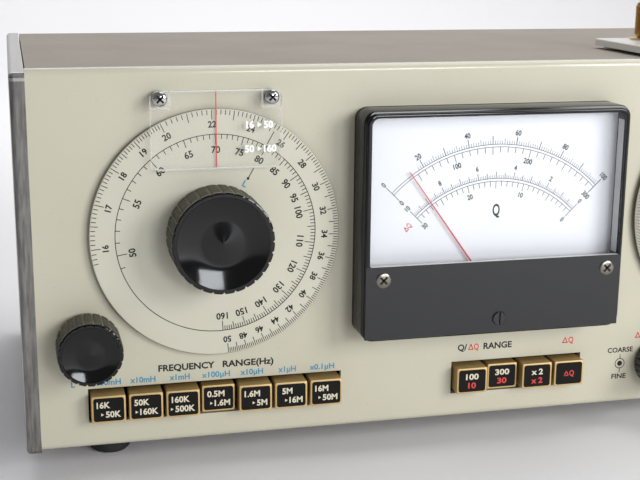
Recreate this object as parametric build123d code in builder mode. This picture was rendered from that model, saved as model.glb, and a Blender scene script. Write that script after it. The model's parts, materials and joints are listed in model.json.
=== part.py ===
from build123d import *
import math
import os

# Bench Q meter: an inductance and capacitance measuring set in a metal case.
# Millimetres. X runs along the front panel, +Y runs from the panel to the rear, +Z is up.
# The origin is on the floor, in the middle of the space that the instrument takes.

os.makedirs("parts", exist_ok=True)

# ---- Case --------------------------------------------------------------------------------
panel_width = 440.0
panel_height = 179.5
panel_thickness = 4.0
panel_edge_radius = 3.0
body_depth = 235.0
side_frame_width = 7.0
side_frame_height = 179.5
side_frame_overhang = 1.5
side_frame_edge_radius = 2.2
side_recess_margin = 14.0
side_recess_depth = 1.0
side_recess_corner = 6.0
cover_sheet = 1.5
cover_flange = 14.0
cover_side_gap = 0.6
cover_drop = 2.0
rear_sheet = 2.0
foot_radius = 10.0
foot_standoff = 12.0
foot_inset_x = 34.0
foot_inset_y = 32.0
foot_chamfer = 1.5
foot_screw_recess = 5.0
vent_slot_length = 34.0
vent_slot_width = 3.0
vent_slot_pitch = 8.0
vent_slot_count = 9
bottom_vent_spacing = 102.0
rear_vent_columns = 4
rear_vent_spacing = 47.6
rear_vent_height = 110.0
rear_screw_edge = 8.0
case_screw_tail = 1.5

# ---- What stands out of the case at the front and rear ------------------------------------
front_reach = 26.0
inlet_flange_thickness = 3.0

# ---- Dials --------------------------------------------------------------------------------
dial_side_margin = 83.9
dial_height = 101.9
dial_radius = 58.8
dial_thickness = 1.6
dial_gap = 1.6
dial_edge_chamfer = 0.5
shaft_radius = 3.175
shaft_flange_radius = 14.0
shaft_tip_cover = 4.0
shaft_running_clearance = 0.05
shaft_tail = 3.0
shaft_flange_gap = 0.2
bushing_radius = 6.0
bushing_collar_radius = 9.0
bushing_nut_thickness = 3.0
bushing_collar_thickness = 1.0
bushing_end = 8.0

# ---- Dial knobs ---------------------------------------------------------------------------
dial_knob_radius = 23.8
dial_knob_height = 20.0
dial_knob_flutes = 28
dial_knob_flute_radius = 0.9
dial_knob_rim = 2.2
dial_knob_cone_radius = 10.2
dial_knob_dish = 2.6
dial_knob_cone_rise = 1.6
knob_back_chamfer = 1.0
knob_front_chamfer = 1.2
knob_flute_front = 2.0
flute_centre_ratio = 0.25

# ---- Fine tuning --------------------------------------------------------------------------
fine_side_margin = 23.2
fine_height = 52.4
fine_ratio = 5.0
fine_knob_radius = 15.0
fine_knob_height = 18.0
fine_knob_gap = 2.0
fine_knob_flutes = 22
fine_knob_flute_radius = 0.8
fine_knob_rim = 1.8
fine_knob_cone_radius = 6.4
fine_knob_dish = 1.8
fine_knob_cone_rise = 1.1
drive_depth = 12.0
drive_thickness = 3.0
drive_gap = 0.3
drive_hub_length = 5.0
drive_hole_count = 4
drive_hole_place = 0.6
drive_hole_size = 0.22
roller_thickness = 6.0
fine_shaft_tail = 2.0

# ---- Dial cursors -------------------------------------------------------------------------
cursor_width = 60.6
cursor_height = 36.2
cursor_thickness = 3.0
cursor_dial_gap = 1.0
cursor_top_height = 169.4
cursor_corner_radius = 4.0
cursor_screw_spacing = 51.2
cursor_screw_drop = 3.6
cursor_pocket = 9.0
cursor_pocket_depth = 1.2
cursor_post_radius = 3.4
screw_radius = 1.5
screw_head_radius = 3.7
screw_head_thickness = 2.2
screw_head_chamfer = 0.4
screw_clearance = 0.1

# ---- Variable capacitors ------------------------------------------------------------------
capacitor_front = 26.0
capacitor_length = 54.0
capacitor_width = 80.0
capacitor_plate_sheet = 2.5
capacitor_head = 40.0
rotor_radius = 30.0
rotor_plates = 8
vane_sheet = 1.0
vane_pitch = 5.0
stator_inner_radius = 9.0
stator_outer_radius = 35.0
stator_rod_radius = 2.0
stator_rod_angles = (15, 90, 165)
rotor_hub_radius = 6.0

# ---- Panel meter --------------------------------------------------------------------------
meter_offset_x = -2.45
meter_bottom = 48.3
meter_width = 134.1
meter_height = 111.2
meter_depth = 18.2
meter_corner_radius = 6.0
meter_edge_radius = 1.2
meter_wall = 4.0
meter_front_wall = 2.4
meter_window_width = 124.6
meter_window_height = 70.4
meter_window_top_margin = 3.4
window_thickness = 1.6
lower_cover_thickness = 2.0
lower_cover_margin = 1.6
meter_screw_spacing = 115.0
meter_screw_offset = 0.6
meter_screw_height = 30.9
meter_screw_head_radius = 4.2
meter_screw_head_thickness = 1.1
meter_base_thickness = 3.0
meter_barrel_radius = 38.0
meter_barrel_height = 38.0
meter_barrel_depth = 36.0
meter_barrel_wall = 2.0
meter_hole_clearance = 1.0
scale_plate_front = 7.0
scale_plate_sheet = 0.8
scale_plate_gap = 1.0
scale_post_radius = 3.0
scale_post_inset = 8.0
meter_stud_radius = 2.5
meter_stud_length = 12.0
meter_stud_spacing = 30.0
pivot_offset_x = 2.45
pivot_height = 18.7
needle_length = 76.0
needle_width = 0.7
needle_sheet = 0.5
needle_front = 9.6
needle_tail = 12.0
needle_tail_weight_radius = 2.6
needle_hub_radius = 2.2
needle_angle = -35.6
magnet_radius = 14.0
magnet_bore = 10.0
magnet_core = 6.5
magnet_web = 4.0
magnet_front = -4.0
magnet_depth = 14.0
magnet_web_inset = 1.0
magnet_pin_clearance = 0.4
magnet_post_inset = 3.0
magnet_post_radius = 1.8
coil_outer_radius = 9.0
coil_inner_radius = 7.5
coil_width = 2.4
coil_end_gap = 1.0
coil_end_thickness = 1.5
pivot_pin_radius = 0.8
zero_adjuster_radius = 3.4
zero_adjuster_height = 8.4
zero_adjuster_proud = 0.8
zero_adjuster_slot = 1.0
zero_adjuster_chamfer = 0.4

# ---- Push buttons -------------------------------------------------------------------------
key_pitch = 17.5
key_width = 15.95
key_height = 13.2
key_reach = 6.6
key_latched_reach = 2.8
key_edge_radius = 0.8
key_front_radius = 0.56
key_cap_depth = 11.0
key_stem_width = 6.0
key_stem_height = 4.0
key_stem_length = 22.0
key_clearance = 0.3
key_slot_rim_x = 0.98
key_slot_rim_z = 1.8
key_row_height = 20.9
key_switch_front = 13.0
key_switch_depth = 32.0
key_switch_height = 15.0
key_switch_end = 3.0
key_ear_width = 2.6
key_ear_place = 1.6
range_key_count = 7
range_key_latched = 4
range_keys_margin = 22.4
q_key_count = 4
q_key_latched = 2
q_keys_offset_x = 18.15

# ---- Zero controls and power button -------------------------------------------------------
zero_offset_x = 96.5
zero_height = 21.7
coarse_knob_radius = 12.5
coarse_knob_height = 12.0
coarse_knob_gap = 0.8
coarse_sleeve_radius = 4.0
fine_zero_radius = 8.5
fine_zero_gap = 0.4
fine_stem_radius = 1.6
potentiometer_radius = 12.0
potentiometer_depth = 20.0
potentiometer_bush_radius = 6.0
small_knob_flutes = 24
small_knob_flute_radius = 0.9
small_flute_ratio = 0.3
small_flute_end = 1.0
coarse_knob_chamfer = 0.8
fine_zero_chamfer = 1.0
fine_zero_rim = 2.2
fine_zero_dish = 2.0
potentiometer_back = 2.0
power_side_margin = 36.0
power_button_size = 12.0
power_button_reach = 6.0
power_button_depth = 16.0
power_body_size = 18.0
power_body_depth = 26.0
power_cavity_depth = 15.6

# ---- Terminals on the top -----------------------------------------------------------------
board_width = 100.0
board_depth = 78.0
board_thickness = 3.7
board_pad_height = 1.7
board_pad_radius = 5.0
board_front = 10.0
board_side_margin = 26.0
board_corner_radius = 2.0
board_edge_chamfer = 0.4
board_pad_inset = 8.0
post_spacing_x = 50.8
post_spacing_y = 50.8
post_radius = 3.0
post_washer_radius = 9.0
post_washer_thickness = 1.0
post_cap_radius = 6.5
post_cap_height = 19.5
post_cap_top_radius = 3.0
post_stud_top = 15.0
post_tail = 14.0
post_hole_radius = 9.0
post_nut_radius = 6.0
post_nut_thickness = 3.0
post_cap_gap = 0.1

# ---- Inside and rear ----------------------------------------------------------------------
deck_height = 34.0
deck_sheet = 1.5
deck_front_clear = 46.0
deck_rear_gap = 6.0
deck_flange = 16.0
deck_side_gap = 0.5
transformer_width = 62.0
transformer_height = 52.0
transformer_coil_overhang = 9.0
transformer_x = -120.0
transformer_rear = 66.0
core_depth = 26.0
core_edge_radius = 2.0
winding_bottom = 10.4
winding_width = 37.2
winding_height = 31.2
board_sheet = 1.6
circuit_board_width = 170.0
circuit_board_depth = 74.0
circuit_board_standoff = 8.0
circuit_board_x = 60.0
circuit_board_rear_gap = 16.0
spacer_radius = 3.0
spacer_inset = 6.0
chip_count = 5
chip_pitch = 26.0
chip_width = 8.0
chip_length = 20.0
chip_height = 5.0
chip_row = -12.0
can_count = 4
can_pitch = 30.0
can_radius = 6.5
can_height = 22.0
can_row = 20.0
inlet_x = -150.0
inlet_height = 60.0
inlet_flange_width = 50.0
inlet_flange_height = 28.0
inlet_flange_corner = 3.0
inlet_body_width = 28.0
inlet_body_height = 20.0
inlet_body_depth = 22.0
inlet_recess_width = 24.5
inlet_recess_height = 16.5
inlet_recess_depth = 16.0
inlet_pin_spacing = 14.0
inlet_pin_width = 2.0
inlet_pin_height = 4.0
inlet_pin_length = 14.0
inlet_side_pin_drop = 1.0
inlet_middle_pin_drop = 5.0
case_screw_head_radius = 3.6
case_screw_head_thickness = 2.0

# ---- Places worked out from the sizes above ----------------------------------------------
overall_depth = front_reach + body_depth + inlet_flange_thickness
panel_y = front_reach - overall_depth / 2
rear_y = panel_y + body_depth
frame_bottom = foot_standoff
panel_bottom = frame_bottom + side_frame_overhang
panel_top = panel_bottom + panel_height
panel_left = -panel_width / 2
cover_top = panel_top - cover_drop
cover_width = panel_width - 2 * cover_side_gap
cover_front_y = panel_y + panel_thickness
cover_length = rear_y - rear_sheet - cover_front_y

dial_z = panel_bottom + dial_height
dial_front = dial_gap + dial_thickness
frequency_x = panel_left + dial_side_margin
capacitance_x = panel_width / 2 - dial_side_margin
shaft_bore = shaft_radius + shaft_running_clearance
shaft_end = capacitor_front + capacitor_length + shaft_tail
knob_shaft_depth = dial_knob_height - dial_knob_dish - shaft_tip_cover

fine_x = panel_left + fine_side_margin
fine_z = panel_bottom + fine_height
fine_shaft_depth = fine_knob_height - fine_knob_dish - shaft_tip_cover
drive_centres = math.hypot(frequency_x - fine_x, dial_z - fine_z)
roller_radius = drive_centres / (fine_ratio + 1.0)
drive_radius = drive_centres - roller_radius - drive_gap

cursor_back = dial_front + cursor_dial_gap
cursor_front = cursor_back + cursor_thickness
cursor_top = panel_bottom + cursor_top_height
cursor_screw_z = cursor_top - cursor_screw_drop

meter_x = meter_offset_x
meter_z = panel_bottom + meter_bottom
meter_top = meter_z + meter_height
meter_centre_z = meter_z + meter_height / 2
window_top = meter_top - meter_window_top_margin
window_bottom = window_top - meter_window_height
window_centre_z = (window_top + window_bottom) / 2
barrel_z = meter_z + meter_barrel_height
pivot_x = meter_x + pivot_offset_x
pivot_z = meter_z + pivot_height
lower_cover_width = meter_width - 2 * lower_cover_margin
lower_cover_bottom = meter_z + lower_cover_margin
lower_cover_height = window_bottom - lower_cover_bottom
lower_cover_z = lower_cover_bottom + lower_cover_height / 2
adjuster_z = meter_z + zero_adjuster_height

key_z = panel_bottom + key_row_height
range_slot_width = (range_key_count - 1) * key_pitch + key_width + 2 * key_slot_rim_x
q_slot_width = (q_key_count - 1) * key_pitch + key_width + 2 * key_slot_rim_x
slot_height = key_height + 2 * key_slot_rim_z
range_slot_x = panel_left + range_keys_margin + range_slot_width / 2
q_slot_x = q_keys_offset_x

zero_x = zero_offset_x
zero_z = panel_bottom + zero_height
coarse_front = coarse_knob_gap + coarse_knob_height
fine_zero_back = coarse_front + fine_zero_gap
power_x = panel_width / 2 - power_side_margin

board_bottom = cover_top + board_pad_height
board_top = board_bottom + board_thickness
board_x = panel_width / 2 - board_side_margin - board_width / 2
board_y = panel_y + board_front + board_depth / 2
washer_top = board_top + post_washer_thickness

deck_top = panel_bottom + deck_height + deck_sheet
deck_length = body_depth - rear_sheet - deck_front_clear - deck_rear_gap
deck_y = panel_y + deck_front_clear + deck_length / 2
foot_x = panel_width / 2 - foot_inset_x
foot_front_y = panel_y + foot_inset_y
foot_rear_y = rear_y - foot_inset_y
foot_y = (foot_front_y + foot_rear_y) / 2
inlet_z = panel_bottom + inlet_height


# ---- Helpers ------------------------------------------------------------------------------
def ahead(distance):
    """Plane facing the user, a distance ahead of the panel's front face (behind if negative)."""
    return Plane.XZ.offset(distance - panel_y)


def behind_rear(distance):
    """Plane facing backwards, a distance behind the rear panel's outer face."""
    return Plane(origin=(0, rear_y + distance, 0), x_dir=(-1, 0, 0), z_dir=(0, 1, 0))


def profile_plane(x, z):
    """Plane through a panel axis: local x is the radius, local y the distance ahead of the panel."""
    return Plane(origin=(x, panel_y, z), x_dir=(1, 0, 0), z_dir=(0, 0, -1))


def panel_axis(x, z):
    """Axis that comes straight out of the front panel."""
    return Axis((x, panel_y, z), (0, -1, 0))


def turned(x, z, points):
    """Solid of revolution about a panel axis, from (radius, distance ahead) points."""
    with BuildPart() as turning:
        with BuildSketch(profile_plane(x, z)):
            with BuildLine():
                Polyline(*points, close=True)
            make_face()
        revolve(axis=panel_axis(x, z))
    return turning.part


def save(piece, name):
    piece.label = name
    export_step(piece, "parts/" + name + ".step")


# ---- Case ---------------------------------------------------------------------------------
def slot_centres():
    return ((range_slot_x, range_slot_width), (q_slot_x, q_slot_width))


def make_front_panel():
    with BuildPart() as panel:
        with BuildSketch(ahead(0)):
            with Locations((0, panel_bottom + panel_height / 2)):
                Rectangle(panel_width, panel_height)
        extrude(amount=-panel_thickness)
        front_edges = panel.faces().sort_by(Axis.Y)[0].edges().filter_by(Axis.X)
        fillet(front_edges, radius=panel_edge_radius)
        with BuildSketch(ahead(0)):
            with Locations((frequency_x, dial_z), (capacitance_x, dial_z), (fine_x, fine_z)):
                Circle(bushing_radius)
            with Locations((zero_x, zero_z)):
                Circle(potentiometer_bush_radius)
            with Locations((meter_x, barrel_z)):
                Circle(meter_barrel_radius + meter_hole_clearance)
            for slot_x, slot_width in slot_centres():
                with Locations((slot_x, key_z)):
                    Rectangle(slot_width, slot_height)
            with Locations((power_x, zero_z)):
                Rectangle(power_button_size + 2 * key_clearance, power_button_size + 2 * key_clearance)
            for dial_x in (frequency_x, capacitance_x):
                with Locations((dial_x, cursor_screw_z)):
                    with GridLocations(cursor_screw_spacing, 0, 2, 1):
                        Circle(screw_radius)
        extrude(amount=-panel_thickness, mode=Mode.SUBTRACT)
    return panel.part


def make_side_frame(side):
    outer_x = side * (panel_width / 2 + side_frame_width)
    centre_x = side * (panel_width / 2 + side_frame_width / 2)
    with BuildPart() as frame:
        with BuildSketch(ahead(0)):
            with Locations((centre_x, frame_bottom + side_frame_height / 2)):
                Rectangle(side_frame_width, side_frame_height)
        extrude(amount=-body_depth)
        outer_face = frame.faces().sort_by(Axis.X)[-1 if side > 0 else 0]
        front_face = frame.faces().sort_by(Axis.Y)[0]
        fillet(outer_face.edges() + front_face.edges().filter_by(Axis.X), side_frame_edge_radius)
        recess_length = body_depth - 2 * side_recess_margin
        recess_height = side_frame_height - 2 * side_recess_margin
        recess_plane = Plane(
            origin=(outer_x, panel_y + body_depth / 2, frame_bottom + side_frame_height / 2),
            x_dir=(0, side, 0),
            z_dir=(side, 0, 0),
        )
        with BuildSketch(recess_plane):
            RectangleRounded(recess_length, recess_height, side_recess_corner)
        extrude(amount=-side_recess_depth, mode=Mode.SUBTRACT)
    return frame.part


def channel(outer_bottom, outer_top, sheet_bottom, sheet_top):
    """Folded cover: a sheet with a flange along each side, open towards the inside."""
    with BuildPart() as cover:
        with BuildSketch(Plane.XZ.offset(-cover_front_y)):
            with Locations((0, (outer_bottom + outer_top) / 2)):
                Rectangle(cover_width, outer_top - outer_bottom)
            with Locations((0, (sheet_bottom + sheet_top) / 2)):
                Rectangle(cover_width - 2 * cover_sheet, sheet_top - sheet_bottom, mode=Mode.SUBTRACT)
        extrude(amount=-cover_length)
    return cover.part


def make_top_cover():
    flange_edge = cover_top - cover_flange
    cover_body = channel(flange_edge, cover_top, flange_edge, cover_top - cover_sheet)
    with BuildPart() as cover:
        add(cover_body)
        with BuildSketch(Plane.XY.offset(cover_top)):
            with Locations((board_x, board_y)):
                with GridLocations(post_spacing_x, post_spacing_y, 2, 2):
                    Circle(post_hole_radius)
        extrude(amount=-cover_sheet, mode=Mode.SUBTRACT)
    return cover.part


def make_bottom_cover():
    flange_edge = panel_bottom + cover_flange
    tray = channel(panel_bottom, flange_edge, panel_bottom + cover_sheet, flange_edge)
    with BuildPart() as cover:
        add(tray)
        with BuildSketch(Plane.XY.offset(panel_bottom)):
            with Locations((0, foot_y)):
                with GridLocations(bottom_vent_spacing, vent_slot_pitch, 2, vent_slot_count):
                    SlotOverall(vent_slot_length, vent_slot_width)
            with Locations((0, foot_y)):
                with GridLocations(2 * foot_x, foot_rear_y - foot_front_y, 2, 2):
                    Circle(screw_radius)
        extrude(amount=cover_sheet, mode=Mode.SUBTRACT)
    return cover.part


def make_rear_panel():
    rear_height = cover_top - panel_bottom
    with BuildPart() as rear:
        with BuildSketch(behind_rear(0)):
            with Locations((0, panel_bottom + rear_height / 2)):
                Rectangle(cover_width, rear_height)
            with Locations((-inlet_x, inlet_z)):
                Rectangle(inlet_body_width + 2 * key_clearance, inlet_body_height + 2 * key_clearance,
                          mode=Mode.SUBTRACT)
            with Locations((0, panel_bottom + rear_vent_height)):
                with GridLocations(rear_vent_spacing, vent_slot_pitch, rear_vent_columns, vent_slot_count):
                    SlotOverall(vent_slot_length, vent_slot_width, mode=Mode.SUBTRACT)
            with Locations(*rear_screw_places()):
                Circle(screw_radius, mode=Mode.SUBTRACT)
        extrude(amount=-rear_sheet)
    return rear.part


def rear_screw_places():
    """Screw places on the rear panel, in the local frame of a plane that faces backwards."""
    x_end = cover_width / 2 - rear_screw_edge
    low = panel_bottom + rear_screw_edge
    high = cover_top - rear_screw_edge
    return [(-x_end, low), (0, low), (x_end, low), (-x_end, high), (0, high), (x_end, high)]


def make_chassis_deck():
    deck_width = cover_width - 2 * cover_sheet - 2 * deck_side_gap
    deck_bottom = deck_top - deck_sheet - deck_flange
    with BuildPart() as deck:
        with BuildSketch(Plane.XZ.offset(-(deck_y - deck_length / 2))):
            with Locations((0, (deck_bottom + deck_top) / 2)):
                Rectangle(deck_width, deck_top - deck_bottom)
            with Locations((0, (deck_bottom + deck_top - deck_sheet) / 2)):
                Rectangle(deck_width - 2 * deck_sheet, deck_flange, mode=Mode.SUBTRACT)
        extrude(amount=-deck_length)
    return deck.part


def foot_places():
    """Centres of the four feet and of their screws."""
    return [(x, y) for x in (-foot_x, foot_x) for y in (foot_front_y, foot_rear_y)]


def make_feet():
    with BuildPart() as feet:
        with BuildSketch(Plane.XY):
            with Locations(*foot_places()):
                Circle(foot_radius)
        extrude(amount=panel_bottom)
        chamfer(feet.edges().group_by(Axis.Z)[0], foot_chamfer)
        with BuildSketch(Plane.XY):
            with Locations(*foot_places()):
                Circle(case_screw_head_radius + key_clearance)
        extrude(amount=foot_screw_recess, mode=Mode.SUBTRACT)
        with BuildSketch(Plane.XY):
            with Locations(*foot_places()):
                Circle(screw_radius)
        extrude(amount=panel_bottom, mode=Mode.SUBTRACT)
    return feet.part


def make_case_screws():
    """Foot screws from below and rear panel screws from behind."""
    shank_radius = screw_radius - screw_clearance
    with BuildPart() as screws:
        with BuildSketch(Plane.XY.offset(foot_screw_recess)):
            with Locations(*foot_places()):
                Circle(case_screw_head_radius)
        extrude(amount=-case_screw_head_thickness)
        with BuildSketch(Plane.XY.offset(foot_screw_recess)):
            with Locations(*foot_places()):
                Circle(shank_radius)
        extrude(amount=panel_bottom - foot_screw_recess + cover_sheet + case_screw_tail)
        with BuildSketch(behind_rear(0)):
            with Locations(*rear_screw_places()):
                Circle(case_screw_head_radius)
        extrude(amount=case_screw_head_thickness)
        with BuildSketch(behind_rear(0)):
            with Locations(*rear_screw_places()):
                Circle(shank_radius)
        extrude(amount=-rear_sheet - case_screw_tail)
    return screws.part


# ---- Dials --------------------------------------------------------------------------------
def make_dial(x):
    with BuildPart() as dial:
        with BuildSketch(ahead(dial_gap)):
            with Locations((x, dial_z)):
                Circle(dial_radius)
                Circle(shaft_radius, mode=Mode.SUBTRACT)
        extrude(amount=dial_thickness)
        front_face = dial.faces().sort_by(Axis.Y)[0]
        rim = front_face.edges().sort_by(SortBy.LENGTH)[-1]
        chamfer(rim, dial_edge_chamfer)
    return dial.part


def make_dial_shaft(x):
    """Shaft with the flange that the dial is fixed to; it runs back through the capacitor."""
    front = dial_front + knob_shaft_depth
    flange_back = bushing_collar_thickness + shaft_flange_gap
    return turned(x, dial_z, [
        (0, -shaft_end),
        (shaft_radius, -shaft_end),
        (shaft_radius, flange_back),
        (shaft_flange_radius, flange_back),
        (shaft_flange_radius, dial_gap),
        (shaft_radius, dial_gap),
        (shaft_radius, front),
        (0, front),
    ])


def fluted_knob(x, z, back, height, radius, rim, dish, cone_radius, cone_rise, flutes, flute_radius,
                bore_radius, bore_depth):
    """Moulded knob: fluted side, raised front rim, shallow dish and a low cone in its middle."""
    front = back + height
    dish_floor = front - dish
    body = turned(x, z, [
        (bore_radius, back),
        (radius - knob_back_chamfer, back),
        (radius, back + knob_back_chamfer),
        (radius, front - knob_front_chamfer),
        (radius - knob_front_chamfer, front),
        (radius - rim, front),
        (cone_radius, dish_floor),
        (0, dish_floor + cone_rise),
        (0, back + bore_depth),
        (bore_radius, back + bore_depth),
    ])
    with BuildPart() as knob:
        add(body)
        with BuildSketch(ahead(back)):
            with Locations((x, z)):
                with PolarLocations(radius + flute_radius * flute_centre_ratio, flutes):
                    Circle(flute_radius)
        extrude(amount=height - knob_flute_front, mode=Mode.SUBTRACT)
    return knob.part


def make_dial_knob(x):
    return fluted_knob(
        x, dial_z, dial_front, dial_knob_height, dial_knob_radius, dial_knob_rim, dial_knob_dish,
        dial_knob_cone_radius, dial_knob_cone_rise, dial_knob_flutes, dial_knob_flute_radius,
        shaft_radius, knob_shaft_depth,
    )


def make_panel_bushings():
    """Threaded bushings with a front collar and a rear nut: two for the dials, one for fine tuning."""
    with BuildPart() as bushings:
        for x, z in ((frequency_x, dial_z), (capacitance_x, dial_z), (fine_x, fine_z)):
            with BuildSketch(ahead(bushing_collar_thickness)):
                with Locations((x, z)):
                    Circle(bushing_radius)
                    Circle(shaft_bore, mode=Mode.SUBTRACT)
            extrude(amount=-bushing_collar_thickness - bushing_end)
            with BuildSketch(ahead(0)):
                with Locations((x, z)):
                    Circle(bushing_collar_radius)
                    Circle(bushing_radius, mode=Mode.SUBTRACT)
            extrude(amount=bushing_collar_thickness)
            with BuildSketch(ahead(-panel_thickness)):
                with Locations((x, z)):
                    RegularPolygon(bushing_collar_radius, 6)
                    Circle(bushing_radius, mode=Mode.SUBTRACT)
            extrude(amount=-bushing_nut_thickness)
    return bushings.part


def make_drive_disc():
    with BuildPart() as disc:
        with BuildSketch(ahead(-drive_depth)):
            with Locations((frequency_x, dial_z)):
                Circle(drive_radius)
                with PolarLocations(drive_radius * drive_hole_place, drive_hole_count):
                    Circle(drive_radius * drive_hole_size, mode=Mode.SUBTRACT)
        extrude(amount=-drive_thickness)
        with BuildSketch(ahead(-drive_depth)):
            with Locations((frequency_x, dial_z)):
                Circle(shaft_flange_radius)
        extrude(amount=-drive_thickness - drive_hub_length)
        with BuildSketch(ahead(-drive_depth)):
            with Locations((frequency_x, dial_z)):
                Circle(shaft_radius)
        extrude(amount=-drive_thickness - drive_hub_length, mode=Mode.SUBTRACT)
    return disc.part


def make_fine_knob():
    return fluted_knob(
        fine_x, fine_z, fine_knob_gap, fine_knob_height, fine_knob_radius, fine_knob_rim, fine_knob_dish,
        fine_knob_cone_radius, fine_knob_cone_rise, fine_knob_flutes, fine_knob_flute_radius,
        shaft_radius, fine_shaft_depth,
    )


def make_fine_shaft():
    """Fine tuning shaft with its rubber-tyred roller, which bears on the rim of the drive disc."""
    front = fine_knob_gap + fine_shaft_depth
    roller_front = -drive_depth - drive_thickness / 2 + roller_thickness / 2
    roller_back = roller_front - roller_thickness
    return turned(fine_x, fine_z, [
        (0, roller_back - fine_shaft_tail),
        (shaft_radius, roller_back - fine_shaft_tail),
        (shaft_radius, roller_back),
        (roller_radius, roller_back),
        (roller_radius, roller_front),
        (shaft_radius, roller_front),
        (shaft_radius, front),
        (0, front),
    ])


# ---- Dial cursors -------------------------------------------------------------------------
def cursor_screw_places():
    half = cursor_screw_spacing / 2
    return [(x + side * half, cursor_screw_z) for x in (frequency_x, capacitance_x) for side in (-1, 1)]


def make_dial_cursors():
    """Two clear plates, one over the top of each dial, with a milled pocket round each screw."""
    with BuildPart() as cursors:
        for x in (frequency_x, capacitance_x):
            with BuildSketch(ahead(cursor_back)):
                with Locations((x, cursor_top - cursor_height / 2)):
                    Rectangle(cursor_width, cursor_height)
            extrude(amount=cursor_thickness)
        lower_edges = cursors.edges().filter_by(Axis.Y).group_by(Axis.Z)[0]
        fillet(lower_edges, radius=cursor_corner_radius)
        with BuildSketch(ahead(cursor_front)):
            with Locations(*cursor_screw_places()):
                Rectangle(cursor_pocket, cursor_pocket)
        extrude(amount=-cursor_pocket_depth, mode=Mode.SUBTRACT)
        with BuildSketch(ahead(cursor_front)):
            with Locations(*cursor_screw_places()):
                Circle(screw_radius)
        extrude(amount=-cursor_thickness, mode=Mode.SUBTRACT)
    return cursors.part


def make_cursor_posts():
    with BuildPart() as posts:
        with BuildSketch(ahead(0)):
            with Locations(*cursor_screw_places()):
                Circle(cursor_post_radius)
        extrude(amount=cursor_back)
        with BuildSketch(ahead(0)):
            with Locations(*cursor_screw_places()):
                Circle(screw_radius)
        extrude(amount=cursor_back, mode=Mode.SUBTRACT)
    return posts.part


def meter_screw_places():
    half = meter_screw_spacing / 2
    screw_z = meter_z + meter_screw_height
    centre_x = meter_x + meter_screw_offset
    return [(centre_x - half, screw_z), (centre_x + half, screw_z)]


def make_panel_screws():
    """Cross-head screws of the two cursors and of the meter's lower cover."""
    cursor_seat = cursor_front - cursor_pocket_depth
    shank_radius = screw_radius - screw_clearance
    with BuildPart() as screws:
        with BuildSketch(ahead(cursor_seat)):
            with Locations(*cursor_screw_places()):
                Circle(screw_head_radius)
        extrude(amount=screw_head_thickness)
        with BuildSketch(ahead(meter_depth)):
            with Locations(*meter_screw_places()):
                Circle(meter_screw_head_radius)
        extrude(amount=meter_screw_head_thickness)
        chamfer(screws.faces().group_by(Axis.Y)[0].edges(), screw_head_chamfer)
        with BuildSketch(ahead(cursor_seat)):
            with Locations(*cursor_screw_places()):
                Circle(shank_radius)
        extrude(amount=-cursor_seat - panel_thickness)
        with BuildSketch(ahead(meter_depth)):
            with Locations(*meter_screw_places()):
                Circle(shank_radius)
        extrude(amount=-lower_cover_thickness - meter_front_wall)
    return screws.part


# ---- Variable capacitors ------------------------------------------------------------------
def vane_depths(count):
    """Front faces of the moving vanes; the fixed vanes lie half a pitch ahead of each and behind."""
    first = capacitor_front + (capacitor_length - (count - 1) * vane_pitch) / 2
    return [first + index * vane_pitch for index in range(count)]


def make_rotor(x):
    with BuildPart() as rotor:
        with BuildSketch(ahead(-vane_depths(rotor_plates)[0] + vane_sheet)):
            with Locations((x, dial_z)):
                Circle(rotor_hub_radius)
        extrude(amount=-(rotor_plates - 1) * vane_pitch - 2 * vane_sheet)
        for depth in vane_depths(rotor_plates):
            with BuildSketch(ahead(-depth)):
                with Locations((x, dial_z)):
                    Circle(rotor_radius)
                with Locations((x, dial_z + rotor_radius / 2)):
                    Rectangle(2 * rotor_radius, rotor_radius, mode=Mode.SUBTRACT)
                with Locations((x, dial_z)):
                    Circle(rotor_hub_radius)
            extrude(amount=-vane_sheet)
        with BuildSketch(ahead(0)):
            with Locations((x, dial_z)):
                Circle(shaft_radius)
        extrude(amount=-shaft_end, mode=Mode.SUBTRACT)
    return rotor.part


def make_capacitor_frame(x):
    """Two end plates that stand on the deck, tied by rods that carry the fixed vanes."""
    frame_top = dial_z + capacitor_head
    rod_radius = (rotor_radius + stator_outer_radius) / 2
    rod_angles = [math.radians(angle) for angle in stator_rod_angles]
    rod_places = [(x + rod_radius * math.cos(a), dial_z + rod_radius * math.sin(a)) for a in rod_angles]
    with BuildPart() as frame:
        for depth in (capacitor_front, capacitor_front + capacitor_length - capacitor_plate_sheet):
            with BuildSketch(ahead(-depth)):
                with Locations((x, (deck_top + frame_top) / 2)):
                    Rectangle(capacitor_width, frame_top - deck_top)
                with Locations((x, dial_z)):
                    Circle(shaft_bore, mode=Mode.SUBTRACT)
            extrude(amount=-capacitor_plate_sheet)
        with BuildSketch(ahead(-capacitor_front)):
            with Locations(*rod_places):
                Circle(stator_rod_radius)
        extrude(amount=-capacitor_length)
        depths = [depth + vane_pitch / 2 for depth in vane_depths(rotor_plates)][:-1]
        for depth in depths:
            with BuildSketch(ahead(-depth)):
                with Locations((x, dial_z)):
                    Circle(stator_outer_radius)
                    Circle(stator_inner_radius, mode=Mode.SUBTRACT)
                with Locations((x, dial_z - stator_outer_radius / 2)):
                    Rectangle(2 * stator_outer_radius, stator_outer_radius, mode=Mode.SUBTRACT)
            extrude(amount=-vane_sheet)
    return frame.part


def make_capacitor_frames():
    with BuildPart() as frames:
        for x in (frequency_x, capacitance_x):
            add(make_capacitor_frame(x))
    return frames.part


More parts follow.
